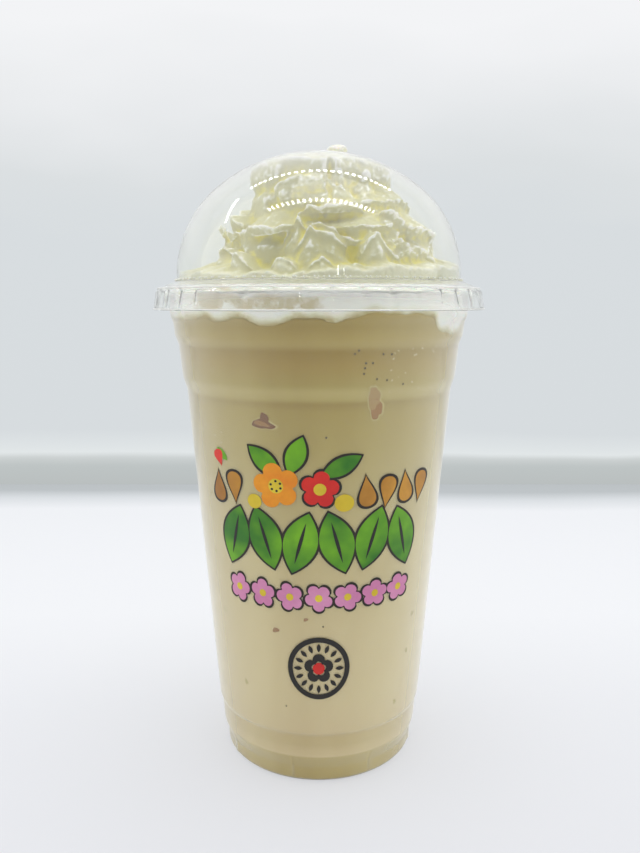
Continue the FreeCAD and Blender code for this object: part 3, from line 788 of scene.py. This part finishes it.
def bed_height(azimuths):
    """Height of the seam between cream and drink at the cup's wall."""
    height = SEAM_HEIGHT + 0.5 * np.sin(np.radians(3 * azimuths + 40.0)) + 0.22 * np.sin(np.radians(23 * azimuths))
    height = height + 0.15 * np.sin(np.radians(41 * azimuths + 70.0))
    for middle, width, depth, square in LOBES:
        height = height - depth * np.exp(-(np.abs(angle_apart(azimuths, middle) / width) ** square))
    behind = np.clip(-np.cos(np.radians(azimuths)), 0, None)
    return height - 1.6 * behind * np.sin(np.radians(5 * azimuths)) ** 2


def wall_radius(height, inset):
    """Radius of the cup's wall at a height, inset from its outer face."""
    corners = np.array(CUP_CORNERS)
    return np.interp(height, corners[:, 1], corners[:, 0]) - inset


def up_the_wall(low, high, count):
    """Points of a line that runs up inside the thickness of the wall."""
    return [(float(wall_radius(height, IN_WALL)), float(height)) for height in np.linspace(low, high, count)]


def blurred(grid, across, along):
    """The grid of ray lengths smoothed over its neighbours, round the circle and up the mound."""
    shifts = np.linspace(-across, across, 9).astype(int)
    weights = np.exp(-1.5 * (shifts / across) ** 2)
    rolled = sum(weight * np.roll(grid, shift, axis=1) for weight, shift in zip(weights, shifts)) / weights.sum()
    padded = np.pad(rolled, ((along, along), (0, 0)), mode="edge")
    kernel = np.exp(-1.5 * (np.arange(-along, along + 1) / along) ** 2)
    kernel /= kernel.sum()
    return sum(padded[i:i + len(grid)] * kernel[i] for i in range(2 * along + 1))


def ray_slopes():
    return 88.0 * (1 - np.arange(MOUND_RINGS) / (MOUND_RINGS - 1.0)) ** 0.92 + 1.0


def make_mound(length):
    """A ball whose upper rings follow the rays' ends and whose lower rings close it inside the cup."""
    bpy.ops.mesh.primitive_uv_sphere_add(segments=AROUND, ring_count=RINGS, radius=BALL * MM, location=(0, 0, 0))
    piece = bpy.context.object
    points = points_of(piece)
    ring = np.rint(np.degrees(np.arccos(np.clip(points[:, 2] / BALL, -1, 1))) / 180.0 * RINGS).astype(int)
    azimuth = azimuth_of(points)
    column = np.rint((azimuth % 360.0) / 360.0 * AROUND).astype(int) % AROUND
    row = np.clip(ring - 1, 0, MOUND_RINGS - 1)
    slope = np.radians(ray_slopes())[row]
    reach = length[row, column]
    radius = reach * np.cos(slope)
    height = HEART_HEIGHT + reach * np.sin(slope)
    below = ring > MOUND_RINGS
    share = (RINGS - ring) / (RINGS - MOUND_RINGS)
    radius[below] = (MOUND_FOOT * np.sin(np.radians(90 * share)))[below]
    height[below] = (HEART_HEIGHT - 6.0 * np.cos(np.radians(90 * share)))[below]
    radius[(ring == 0) | (ring == RINGS)] = 0.0
    height[ring == 0] = HEART_HEIGHT + length[0].mean()
    set_points(piece, around(np.radians(azimuth), radius, height))
    return piece


# A thin torn lip: azimuths of its ends, radius and height of its upper edge at both ends, how far
# it reaches down, how much further in its lower edge lies, and its thickness.
LIPS = [
    (-4.0, 23.5, 30.2, 165.4, 31.0, 159.4, 3.0, 0.6, 0.7), (-52.0, -14.0, 29.4, 163.8, 31.2, 164.2, 2.6, 1.6, 0.9),
    (36.0, 62.0, 31.6, 168.6, 33.2, 163.2, 3.0, 1.8, 0.9), (-30.0, 3.0, 22.9, 177.2, 23.0, 177.6, 2.4, 1.2, 0.8),
    (-8.0, 30.0, 27.6, 169.4, 27.4, 169.9, 2.2, 2.2, 0.8), (34.0, 50.0, 36.0, 161.4, 36.6, 156.8, 2.6, 1.4, 0.8),
    (8.0, 24.0, 21.4, 177.0, 21.6, 173.6, 2.2, 1.2, 0.8), (70.0, 104.0, 35.0, 165.0, 34.6, 162.0, 3.2, 1.4, 0.9),
    (-84.0, -58.0, 28.0, 163.4, 28.8, 163.9, 2.6, 1.4, 0.9),
]


def make_lips():
    """The lips above, and more of them round the back."""
    for index in range(13):
        start = 96.0 + index * 14.2
        reach = 31.5 + 2.2 * math.sin(1.7 * index) if index % 2 else 25.5 + 1.5 * math.sin(2.9 * index)
        level = 163.5 + 1.8 * math.cos(2.3 * index) if index % 2 else 170.0 + 1.5 * math.cos(1.9 * index)
        last = level - 1.6 + 2.4 * math.sin(4.1 * index)
        LIPS.append((start, start + 24.0, reach, level, reach - 0.4, last, 2.8, 1.4, 0.9))
    lips = []
    for start, end, first, first_top, last, last_top, fall, inwards, thickness in LIPS:
        bpy.ops.mesh.primitive_grid_add(x_subdivisions=40, y_subdivisions=6, size=1.0, location=(0, 0, 0))
        lip = bpy.context.object
        points = points_of(lip) * MM + 0.5
        along, up = points[:, 0], points[:, 1]
        taper = np.sin(np.pi * np.clip(along, 0.02, 0.98)) ** 0.5
        wave = np.sin(9.0 * along + first) + 0.6 * np.sin(23.0 * along + 2 * first_top)
        fallen = (1 - up) * fall * taper
        height = first_top + (last_top - first_top) * along + 0.45 * wave * up - fallen
        radius = first + (last - first) * along - inwards * ((1 - up) + 1.2 * (1 - taper)) + 0.35 * wave * up
        set_points(lip, around(np.radians(start + (end - start) * along), radius, height))
        solid = lip.modifiers.new("Thickness", "SOLIDIFY")
        solid.thickness = thickness * MM
        solid.offset = 0.0
        bpy.ops.object.modifier_apply(modifier=solid.name)
        lips.append(lip)
    return lips


def roughen(piece):
    """Small lumps and tears in the cream, pushed along the direction of its own faces."""
    points = points_of(piece)
    torn = 0.55 + 0.45 * smooth_step(np.abs(angle_apart(azimuth_of(points), 62.0)), 34.0, 22.0)
    push = np.array([
        0.55 * noise.fractal(place * 0.20, 0.8, 2.0, 4)
        + 0.14 * noise.fractal(place * 0.9 + Vector((9, 4, 2)), 0.7, 2.0, 3)
        for place in map(Vector, points)
    ]) * torn
    moved = points + rows(piece.data.vertices, "normal") * (push - 0.1)[:, None]
    fits = under_lid(radius_of(moved), moved[:, 2]) & (moved[:, 2] < cream_high.z - 0.05)
    points[fits] = moved[fits]
    set_points(piece, points)


def keep_under_lid(piece):
    """Points that came to lie in the lid's wall go back inside it."""
    points = points_of(piece)
    heart = np.array((0.0, 0.0, HEART_HEIGHT))
    for _ in range(12):
        out = ~under_lid(radius_of(points), points[:, 2])
        if not out.any():
            break
        points[out] += (heart - points[out]) * 0.006
    points[:, 2] = np.minimum(points[:, 2], cream_high.z - 0.02)
    set_points(piece, points)


FLAT = 0.38
FINE_STEPS = 5
BROAD_STEPS = 60


def hollow_depths(piece, points):
    """How far each point lies below its neighbours, near ones and then ones further off."""
    normals = rows(piece.data.vertices, "normal")
    ends = np.empty(len(piece.data.edges) * 2, int)
    piece.data.edges.foreach_get("vertices", ends)
    first, second = ends[::2], ends[1::2]
    count = np.bincount(ends, minlength=len(points))
    soft = points.copy()
    for step in range(1, BROAD_STEPS + 1):
        for axis in range(3):
            total = sum(np.bincount(here, soft[there, axis], len(points))
                        for here, there in ((first, second), (second, first)))
            soft[:, axis] = total / count
        if step in (FINE_STEPS, BROAD_STEPS):
            yield ((soft - points) * normals).sum(axis=1)


def store_hollow_shade(piece, length):
    """How deep each point lies between its neighbours, from FLAT up or down: the painted shade in the cream's hollows
    and the painted highlights on its crests.
    """
    points = points_of(piece)
    near, far = hollow_depths(piece, points)
    radius = radius_of(points)
    up = points[:, 2] - HEART_HEIGHT
    slope = np.degrees(np.arctan2(up, radius))
    row = np.clip(np.interp(slope, ray_slopes()[::-1], np.arange(MOUND_RINGS)[::-1]), 0, MOUND_RINGS - 1)
    column = (azimuth_of(points) % 360.0) / 360.0 * AROUND
    place = (np.rint(row).astype(int), np.rint(column).astype(int) % AROUND)
    broad = blurred(length, 26, 9)[place] - np.hypot(radius, up)
    fine = np.sign(near) * np.maximum(np.abs(near) - 0.035, 0) * np.where(near < 0, 2.4, 1.5)
    depth = FLAT + fine + 0.26 * np.clip(far, -0.1, None) + 0.06 * np.clip(broad, -1, None)
    # Less painted shade low down by the cup's wall and near the straw hole.
    low = np.maximum(smooth_step(points[:, 2], 154.5, 151.0), smooth_step(radius, 35.5, 39.0))
    depth = depth * (1 - 0.75 * low) + 0.14 * low
    depth = depth * (1 - 0.65 * smooth_step(points[:, 2], 181.0, 184.0))
    store(piece, "hollow", np.clip(depth, 0, 1))


def make_cream():
    """The mound with its lips as one skin, and the collar of cream along the cup's wall."""
    add_back_forms()
    columns, slopes = np.meshgrid(np.arange(AROUND), ray_slopes())
    length = ray_ends(columns.ravel(), slopes.ravel()).reshape(slopes.shape)
    piece = joined([make_mound(length)] + make_lips(), "cream_swirl")
    skin = piece.modifiers.new("Skin", "REMESH")
    skin.mode = "VOXEL"
    skin.voxel_size = VOXEL * MM
    bpy.ops.object.modifier_apply(modifier=skin.name)
    edit_all()
    bpy.ops.mesh.bisect(plane_co=(0, 0, CUT_HEIGHT * MM), plane_no=(0, 0, 1), use_fill=True, clear_inner=True)
    bpy.ops.mesh.select_all(action="SELECT")
    bpy.ops.mesh.vertices_smooth(factor=0.5, repeat=1)
    bpy.ops.object.mode_set(mode="OBJECT")
    roughen(piece)
    keep_under_lid(piece)
    store_hollow_shade(piece, length)
    finished(piece, cream_finish(), "cream")
    finished(make_collar(), collar_finish(), "cream")


def make_collar():
    """The cream that is seen through the wall, from the seam with the drink to the rim."""
    start = (41.0, 138.0)
    top = [(43.0, ROLL_HEIGHT + 0.3), (41.0, ROLL_HEIGHT), start]
    piece = turned("cream_collar", [start, (43.0, 139.0)] + up_the_wall(SEAM_HEIGHT, ROLL_HEIGHT, 14) + top, 480)
    points = points_of(piece)
    azimuths = azimuth_of(points)
    bed = bed_height(azimuths)
    share = np.clip((ROLL_HEIGHT - points[:, 2]) / (ROLL_HEIGHT - SEAM_HEIGHT), 0, 1.25)
    height = np.where(points[:, 2] < ROLL_HEIGHT, ROLL_HEIGHT - (ROLL_HEIGHT - bed) * share, points[:, 2])
    radius = radius_of(points)
    new_radius = np.where(radius > 43.2, wall_radius(height, IN_WALL), radius)
    points[:, :2] *= (new_radius / radius)[:, None]
    points[:, 2] = height
    set_points(piece, points)
    front = 1 - 0.55 * smooth_step(azimuths, -4.0, 6.0) - 0.45 * smooth_step(azimuths, 18.0, 30.0)
    stained = smooth_step(azimuths, -56.0, -44.0) * front + 0.6 * up_and_down(azimuths, 118.0, 126.0, 150.0, 160.0)
    level = smooth_step(height, 140.6, 142.0) * (1 - 0.4 * smooth_step(height, 144.4, 146.0))
    store(piece, "rise", np.clip((height - bed) / 3.2, 0, 1))
    store(piece, "stain", 0.75 * stained * level)
    return piece


# ---- Drink ----

def make_drink():
    """The drink reaches just into the cup's wall, so no air shows between them."""
    lift = CUP_WALL * 0.5
    floor = [(0.0, FLOOR + lift), (FLOOR_RADIUS + lift, FLOOR + lift), (27.2, lift), (RING_RADIUS, lift)]
    dip = 131.5
    wall = [corner for corner in cup_line(IN_WALL) if corner[1] < dip]
    line = soft_corners(floor + wall + up_the_wall(133.5, 133.5, 1), BEND)
    rise = up_the_wall(134.2, SEAM_HEIGHT, 8)
    cap = [(rise[-1][0] * share, SEAM_HEIGHT) for share in (0.9, 0.7, 0.4, 0.0)]
    piece = turned("drink_body", line + rise + cap, 360)
    # Above bend the wall is stretched to the wavy seam, and the flat top sinks to dip in its middle.
    bend, brim = 130.0, 45.0
    points = points_of(piece)
    radius, height = radius_of(points), points[:, 2]
    bed = bed_height(azimuth_of(points))
    share = np.clip((height - bend) / (SEAM_HEIGHT - bend), 0, 1)
    new_height = np.where(height > bend, bend + (bed + 0.25 - bend) * share, height)
    flat = (height > SEAM_HEIGHT - 0.01) & (radius < 0.97 * brim)
    at_wall = (share > 0) & ~flat
    scale = np.where(at_wall, wall_radius(new_height, IN_WALL) / np.maximum(radius, 1e-6), 1.0)
    points[:, 2] = np.where(flat, dip + (new_height - dip) * (radius / brim) ** 2, new_height)
    points[:, :2] *= scale[:, None]
    set_points(piece, points)
    finished(piece, drink_finish(), "drink")


# ---- Print on the cup and marks in the drink ----

# The outline of a shape, one unit across and up from its middle, at an angle in radians.

def disc(angle):
    return np.cos(angle), np.sin(angle)


def blossom(angle):
    reach = 0.7 + 0.3 * np.abs(np.cos(2.5 * angle)) ** 0.7
    return reach * np.cos(angle), reach * np.sin(angle)


def leaf(angle):
    return np.sign(np.cos(angle)) * np.cos(angle) ** 2, np.sin(angle)


def drop(angle):
    return np.cos(angle) * (1 - np.sin(angle)) / 1.3, np.sin(angle)


def blot(angle):
    reach = 0.88 + 0.12 * np.sin(2 * angle + 0.6) + 0.1 * np.sin(3 * angle + 2.0) + 0.05 * np.sin(7 * angle)
    return reach * np.cos(angle), reach * np.sin(angle)


WRAP_RADIUS = 38.0


def wrapped(name, shapes, proud, material, grow=0.0, steps=40):
    """Flat shapes laid on the cup's wall. Each is its outline, azimuth, height, half width, half
    height, turn in degrees and the share of its middle that is left open."""
    parts = []
    for outline, azimuth, level, half_width, half_height, turn, opening in shapes:
        bpy.ops.mesh.primitive_grid_add(x_subdivisions=steps, y_subdivisions=5 if steps > 20 else 2, size=1.0,
                                        location=(0, 0, 0))
        part = bpy.context.object
        points = points_of(part) * MM + 0.5
        inner = opening - grow / half_width if opening else 0.0
        share = inner + (1 - inner) * points[:, 1]
        across, up = outline(points[:, 0] * math.tau)
        across, up = (half_width + grow) * share * across, (half_height + grow) * share * up
        lean = math.radians(turn)
        across, up = across * math.cos(lean) - up * math.sin(lean), across * math.sin(lean) + up * math.cos(lean)
        height = level + up
        angle = math.radians(azimuth) + across / WRAP_RADIUS
        set_points(part, around(angle, wall_radius(height, -proud), height))
        edit_all()
        bpy.ops.mesh.remove_doubles(threshold=0.001 * MM)
        bpy.ops.object.mode_set(mode="OBJECT")
        parts.append(part)
    piece = joined(parts, name)
    face_outwards(piece)
    finished(piece, material)


def face_outwards(piece):
    """Turns the sheet round if its faces look into the cup."""
    faces = piece.data.polygons
    if (rows(faces, "normal") * rows(faces, "center"))[:, :2].sum() < 0:
        edit_all()
        bpy.ops.mesh.flip_normals()
        bpy.ops.object.mode_set(mode="OBJECT")


def make_print():
    """A garden pattern: ochre buds, a bunch of flowers, leaning leaves, pink blossoms and a round badge."""
    buds = [(drop, azimuth, 91.6 + 0.6 * math.sin(azimuth), 2.5, 4.6, 180 * (index % 2) + 8 * math.sin(azimuth), 0)
            for index, azimuth in enumerate((-47, -37.5, 20, 29.5, 39, 48.5))]
    leaves = [(leaf, -39 + 15.6 * index, 77.6 + 0.5 * math.sin(2 * index), 4.9, 9.2, 16 if index % 2 else -16, 0)
              for index in range(6)]
    sprigs = [(leaf, -22, 100.4, 2.6, 6.0, 48, 0), (leaf, -9, 102.4, 2.6, 5.6, -20, 0),
              (leaf, 9, 99.4, 2.4, 6.0, -62, 0), (leaf, -43.5, 101.0, 1.2, 2.6, 50, 0)]
    petals = [(blossom, -39 + 13 * step, 62.6 - 1.7 * math.cos(math.radians(18 * (step - 3))), 3.9, 4.3, 17 * step, 0)
              for step in range(7)]
    red_flower, orange_flower = (0.5, 93.0), (-17.5, 93.6)
    red = [(blossom, *red_flower, 5.2, 5.2, 10, 0), (drop, -45.5, 99.6, 1.9, 2.6, 200, 0)]
    orange = [(blossom, *orange_flower, 6.6, 6.6, 30, 0)]
    gold = [(disc, 10.5, 89.0, 2.7, 2.5, 0, 0), (disc, -27.5, 88.6, 2.2, 2.1, 0, 0)]
    hearts = [(disc, *red_flower, 1.7, 1.7, 0, 0), (disc, *orange_flower, 2.1, 2.1, 0, 0)]
    hearts += [(disc, azimuth, level, 1.1, 1.1, 0, 0) for _, azimuth, level, *_ in petals]
    middle, wreath = 38.9, 6.6
    badge = [(disc, 0, middle, 9.9, 9.9, 0, 0.84), (blossom, 0, middle, 4.7, 4.7, 90, 0.5)]
    badge += [(leaf, wreath * math.degrees(math.sin(math.tau * index / 16)) / WRAP_RADIUS,
               middle + wreath * math.cos(math.tau * index / 16), 0.62, 1.35, -22.5 * index, 0) for index in range(16)]
    veins = [(leaf, azimuth, level, 0.5, 6.4, turn, 0) for _, azimuth, level, _, _, turn, _ in leaves]
    azimuth, level = orange_flower
    veins += [(disc, azimuth + 2.2 * math.sin(index), level + 1.4 * math.cos(index), 0.35, 0.35, 0, 0)
              for index in range(6)]
    dark = ink("print_outline", (40, 30, 12), (30, 22, 10))
    wrapped("print_edges", buds + leaves + sprigs[:3] + petals + red[:1], 0.03, dark, grow=0.75)
    wrapped("print_buds", buds, 0.06, ink("print_ochre", (214, 154, 52), (170, 112, 28)))
    wrapped("print_gold", gold + hearts, 0.1, ink("print_gold", (246, 224, 64), (226, 196, 40)))
    wrapped("print_leaves", leaves + sprigs, 0.06, ink("print_green", (124, 194, 20), (44, 122, 14)))
    wrapped("print_blossoms", petals, 0.06, ink("print_pink", (236, 160, 204), (218, 134, 184)))
    red.append((disc, 0, middle, 1.9, 1.9, 0, 0))
    wrapped("print_red", red, 0.07, ink("print_red", (246, 52, 26), (220, 26, 22)))
    wrapped("print_orange", orange, 0.08, ink("print_orange", (255, 174, 30), (244, 138, 20)))
    wrapped("print_badge", badge + veins, 0.12, ink("print_black", (26, 22, 18), (20, 18, 16)))


# Specks of drink against the wall: azimuth and height.
SPECKS = ((12.7, 130.0), (14.1, 130.9), (16.9, 127.5), (19.5, 127.5), (16.6, 126.2), (16.3, 124.7), (23.4, 129.8),
          (26.8, 129.7), (21.4, 123.2), (25.5, 122.8), (32.7, 121.5), (2.9, 107.5), (-16.6, 26.0), (2.0, 52.1))

# Small pale spots of froth, likewise.
PALE_SPOTS = ((-52.6, 51.7), (52.6, 50.4), (50.2, 38.8), (44.0, 23.0), (-40.0, 30.5), (-55.0, 88.0), (56.0, 96.0),
              (-56.0, 70.0))


def make_marks():
    """Air pockets, specks and froth where the drink lies against the wall."""
    # The deepest part of the left pocket is painted shade: a dark brown sheet inside the pocket's blot.
    deep = [(blot, -22.0, 110.7, 3.4, 1.5, -12, 0), (leaf, -21.2, 112.4, 1.2, 1.8, 22, 0)]
    browns = [(blot, 22.3, 115.1, 1.75, 3.4, 12, 0), (blot, -22.6, 110.9, 2.3, 0.8, -16, 0),
              (blot, -20.4, 50.1, 1.2, 0.9, 0, 0), (blot, -5.9, 54.2, 0.8, 0.6, 10, 0)]
    tans = [(blot, 21.1, 118.0, 1.7, 3.7, 11, 0)]
    froth = [(blot, 22.5, 115.0, 2.2, 3.9, 12, 0), (blot, 21.1, 118.1, 2.1, 4.2, 11, 0),
             (blot, -21.9, 110.8, 3.9, 2.0, -12, 0)]
    froth += [(blot, azimuth, level, 0.8, 1.1, 30 * azimuth, 0) for azimuth, level in PALE_SPOTS]
    specks = [(disc, azimuth, level, 0.29, 0.32, 0, 0) for azimuth, level in SPECKS]
    dots = []
    # Two swarms of dots: middle azimuth, lowest height, half width in degrees and height.
    swarms = ((38.0, 119.5, 11.0, 12.0), (-50.0, 104.0, 7.0, 30.0))
    for index in range(46):
        side, low, spread, height = swarms[index % 2]
        turn = side + spread * math.sin(2.4 * index)
        level = low + height * (0.5 + 0.5 * math.sin(1.9 * index + 0.7))
        size = (0.22 + 0.1 * math.sin(3 * index), 0.3 + 0.14 * math.cos(5 * index))
        dots.append((blot, turn, level, *size, 40 * index, 0))
    for turn in (118.0, 205.0, 262.0):
        level = 60.0 + 0.2 * turn
        browns.append((blot, turn, level, 1.7, 3.0, turn, 0))
        froth.append((blot, turn, level, 2.3, 3.9, turn, 0))
        dots += [(blot, turn + 11 * math.sin(2.3 * index), 70.0 + 58 * math.cos(1.7 * index), 0.5, 0.6, 0, 0)
                 for index in range(9)]
        specks += [(disc, turn + 14 * math.cos(2.9 * index), 80.0 + 46 * math.sin(1.3 * index), 0.3, 0.3, 0, 0)
                   for index in range(7)]
    wrapped("drink_froth", froth, -0.16, ink("drink_froth", (204, 190, 122), (190, 172, 100)))
    # Painted shade in the deepest part of an air pocket.
    wrapped("drink_pocket_shade_sheets", deep, -0.145, ink("drink_pocket_painted_shade", (134, 86, 26), (112, 70, 16)))
    wrapped("drink_pockets", browns, -0.13, ink("drink_pocket", (172, 126, 62), (156, 110, 48)))
    wrapped("drink_pocket_skins", tans, -0.115, ink("drink_pocket_skin", (186, 154, 92), (172, 138, 74)))
    wrapped("drink_specks", specks, -0.1, ink("drink_speck", (104, 92, 36), (84, 72, 22)), steps=10)
    wrapped("drink_dots", dots, -0.1, ink("drink_dot", (224, 214, 168), (214, 202, 150)), steps=10)


# ---- Studio ----

SHEET = 3.0


def make_world():
    """A white tent: bright above, at the sides and behind, and dim low down behind the camera."""
    world = bpy.data.worlds.new("tent")
    bpy.context.scene.world = world
    world.use_nodes = True
    tent = Nodes(world.node_tree)
    _, y, z = tent.axes("Generated")

    def larger_band(back, above):
        return tent.maths("MAXIMUM", tent.smooth_range(y, *back), tent.smooth_range(z, *above))

    soft = larger_band((-0.7, 0.1, 0.25, 1.26), (0.4, 0.9, 0.25, 1.26))
    mirrored = larger_band((-0.97, -0.3, 0.1, 1.8), (0.5, 0.95, 0.1, 1.2))
    seen = tent.maths("MAXIMUM", tent.ray("Camera"), tent.ray("Transmission"))
    strength = tent.between(seen, tent.between(tent.ray("Glossy"), soft, mirrored), 0.82)
    background = tent.tree.nodes["Background"]
    tent.link(strength, background.inputs["Strength"])
    tent.link(tent.blend(seen, (1.0, 0.985, 0.925, 1.0), (0.99, 1.0, 1.0, 1.0)), background.inputs["Color"])


def floor_finish():
    """Pale paper with painted shade: a little darker towards the front and in a painted shadow band where it meets the
    backdrop.
    """
    finish = Finish("floor_paper", Roughness=0.9, Specular_IOR_Level=0.0)
    _, y, _ = finish.axes()
    back = finish.maths("ADD", finish.maths("DIVIDE", y, SHEET / 2), finish.maths("MULTIPLY", finish.noise(2.0), 0.03))
    # Painted shade: the paper is darker at the front and in a shadow band along the foot of the backdrop.
    paper = finish.ramp(back, tones([
        (0.7, 228, 230, 237), (0.78, 235, 237, 243), (0.84, 242, 244, 249), (0.965, 242, 244, 249),
        (0.985, 222, 226, 231), (1, 194, 199, 203),
    ]))
    finish.colour(paper)
    own = finish.maths("MULTIPLY", finish.ray("Camera"), 0.62)
    finish.show_mixed(own, finish.shader.outputs[0], finish.glow(1.0, paper))
    return finish.material


def backdrop_finish():
    """Glowing cloth with painted shade in faint creases, a painted shadow band at its foot with a lighter band just
    above, and painted light that brightens towards its top.
    """
    finish = Finish("backdrop_cloth", Roughness=0.9)
    _, y, _ = finish.axes()
    up = finish.maths("DIVIDE", finish.maths("ADD", y, SHEET / 2), 0.5)
    # Painted shade in faint creases of the cloth, fading out near its foot.
    cloth = finish.maths("SUBTRACT", finish.noise(3.5, 3.0, 0.5, (1, 2.5, 1)), 0.5)
    away = finish.maths("MINIMUM", finish.maths("MULTIPLY", up, 2.5), 1.0)
    creases = finish.maths("MULTIPLY", finish.maths("MULTIPLY", cloth, 0.22), away)
    # Painted light and shade: the glow is darker at the foot, lighter just above it and brighter towards the top.
    finish.show(finish.glow(1.0, finish.ramp(finish.maths("ADD", up, creases), tones([
        (0, 186, 191, 191), (0.03, 190, 196, 196), (0.042, 203, 208, 208), (0.05, 226, 231, 232),
        (0.062, 222, 227, 229), (0.085, 215, 220, 223), (0.41, 216, 221, 224), (0.48, 220, 224, 226),
        (0.6, 234, 236, 238), (0.7, 243, 244, 246),
    ]))))
    return finish.material


def make_stage():
    """A pale floor and a plain backdrop of glowing cloth, with painted shade where the two meet."""
    for name, place, turn, material in (("floor", (0, -1.14, 0), 0, floor_finish()),
                                        ("backdrop", (0, 0.36, 1.5), 90, backdrop_finish())):
        bpy.ops.mesh.primitive_plane_add(size=SHEET, location=place, rotation=(math.radians(turn), 0, 0))
        sheet = bpy.context.object
        sheet.name = name
        sheet.data.materials.append(material)
    bpy.ops.object.select_all(action="DESELECT")


def glowing(name, strength):
    """Paint for lamps that only show where they are mirrored."""
    finish = Finish(name)
    clear = finish.add("ShaderNodeBsdfTransparent")
    finish.show_mixed(finish.ray("Glossy"), clear.outputs[0], finish.glow(strength))
    return finish.material


LAMP_HEIGHT = 400.0


def make_lamp_strips():
    """Two strips of small lamps above, a tall soft tube at the left and a slit of light in front."""
    # How many lamps a strip has, where it starts, their pitch, how far back it hangs, and a lamp's size.
    strips = ((24, -149.0, 13.4, 73.0, (6.5, 9.0)), (21, -150.0, 16.0, -103.0, (6.5, 19.0)))
    lamps = []
    for count, start, pitch, back, size in strips:
        for index in range(count):
            place = Vector((start + index * pitch, back, LAMP_HEIGHT)) * MM
            bpy.ops.mesh.primitive_cube_add(size=MM, location=place, scale=(*size, 1))
            lamps.append(bpy.context.object)
    strip = joined(lamps, "lamp_strips")
    strip.data.materials.append(glowing("lamp_dots", 22.0))
    # A tube's lower and upper end, radius and strength.
    for name, low, high, radius, strength in (
        ("left_tube", (-425, 20, 460), (-325, 120, 545), 9.0, 9.0),
        ("front_slit", (129, -526, 186), (128, -519, 240), 4.5, 14.0),
        ("front_spot", (168, -513, 200), (168, -513, 222), 2.5, 10.0),
    ):
        low, high = Vector(low) * MM, Vector(high) * MM
        way = high - low
        turn = way.to_track_quat("Z", "Y").to_euler()
        bpy.ops.mesh.primitive_cylinder_add(vertices=16, radius=radius * MM, depth=way.length,
                                            location=(low + high) / 2, rotation=turn)
        tube = bpy.context.object
        tube.name = name
        tube.data.materials.append(glowing(name + "_glow", strength))
    bpy.ops.object.select_all(action="DESELECT")


def make_light():
    """A soft panel above, and the lamps that the clear plastic mirrors."""
    data = bpy.data.lights.new("top_panel", "AREA")
    data.shape, data.energy, data.color = "RECTANGLE", 1.0, (1.0, 0.985, 0.94)
    data.size, data.size_y = 0.35, 0.35
    lamp = bpy.data.objects.new("top_panel", data)
    bpy.context.scene.collection.objects.link(lamp)
    place, aim = Vector((0.05, -0.02, 0.7)), Vector((0, 0, 0.12))
    lamp.location = place
    lamp.rotation_euler = (aim - place).to_track_quat("-Z", "Y").to_euler()
    lamp.visible_glossy = False
    make_lamp_strips()


scene = bpy.context.scene
scene.view_settings.view_transform = "Standard"
scene.cycles.use_denoising = True
scene.cycles.max_bounces = 16
scene.cycles.transmission_bounces = 12
scene.cycles.transparent_max_bounces = 16

add_camera()
make_world()
make_stage()
make_light()
make_cup()
make_lid()
make_drink()
make_cream()
make_print()
make_marks()
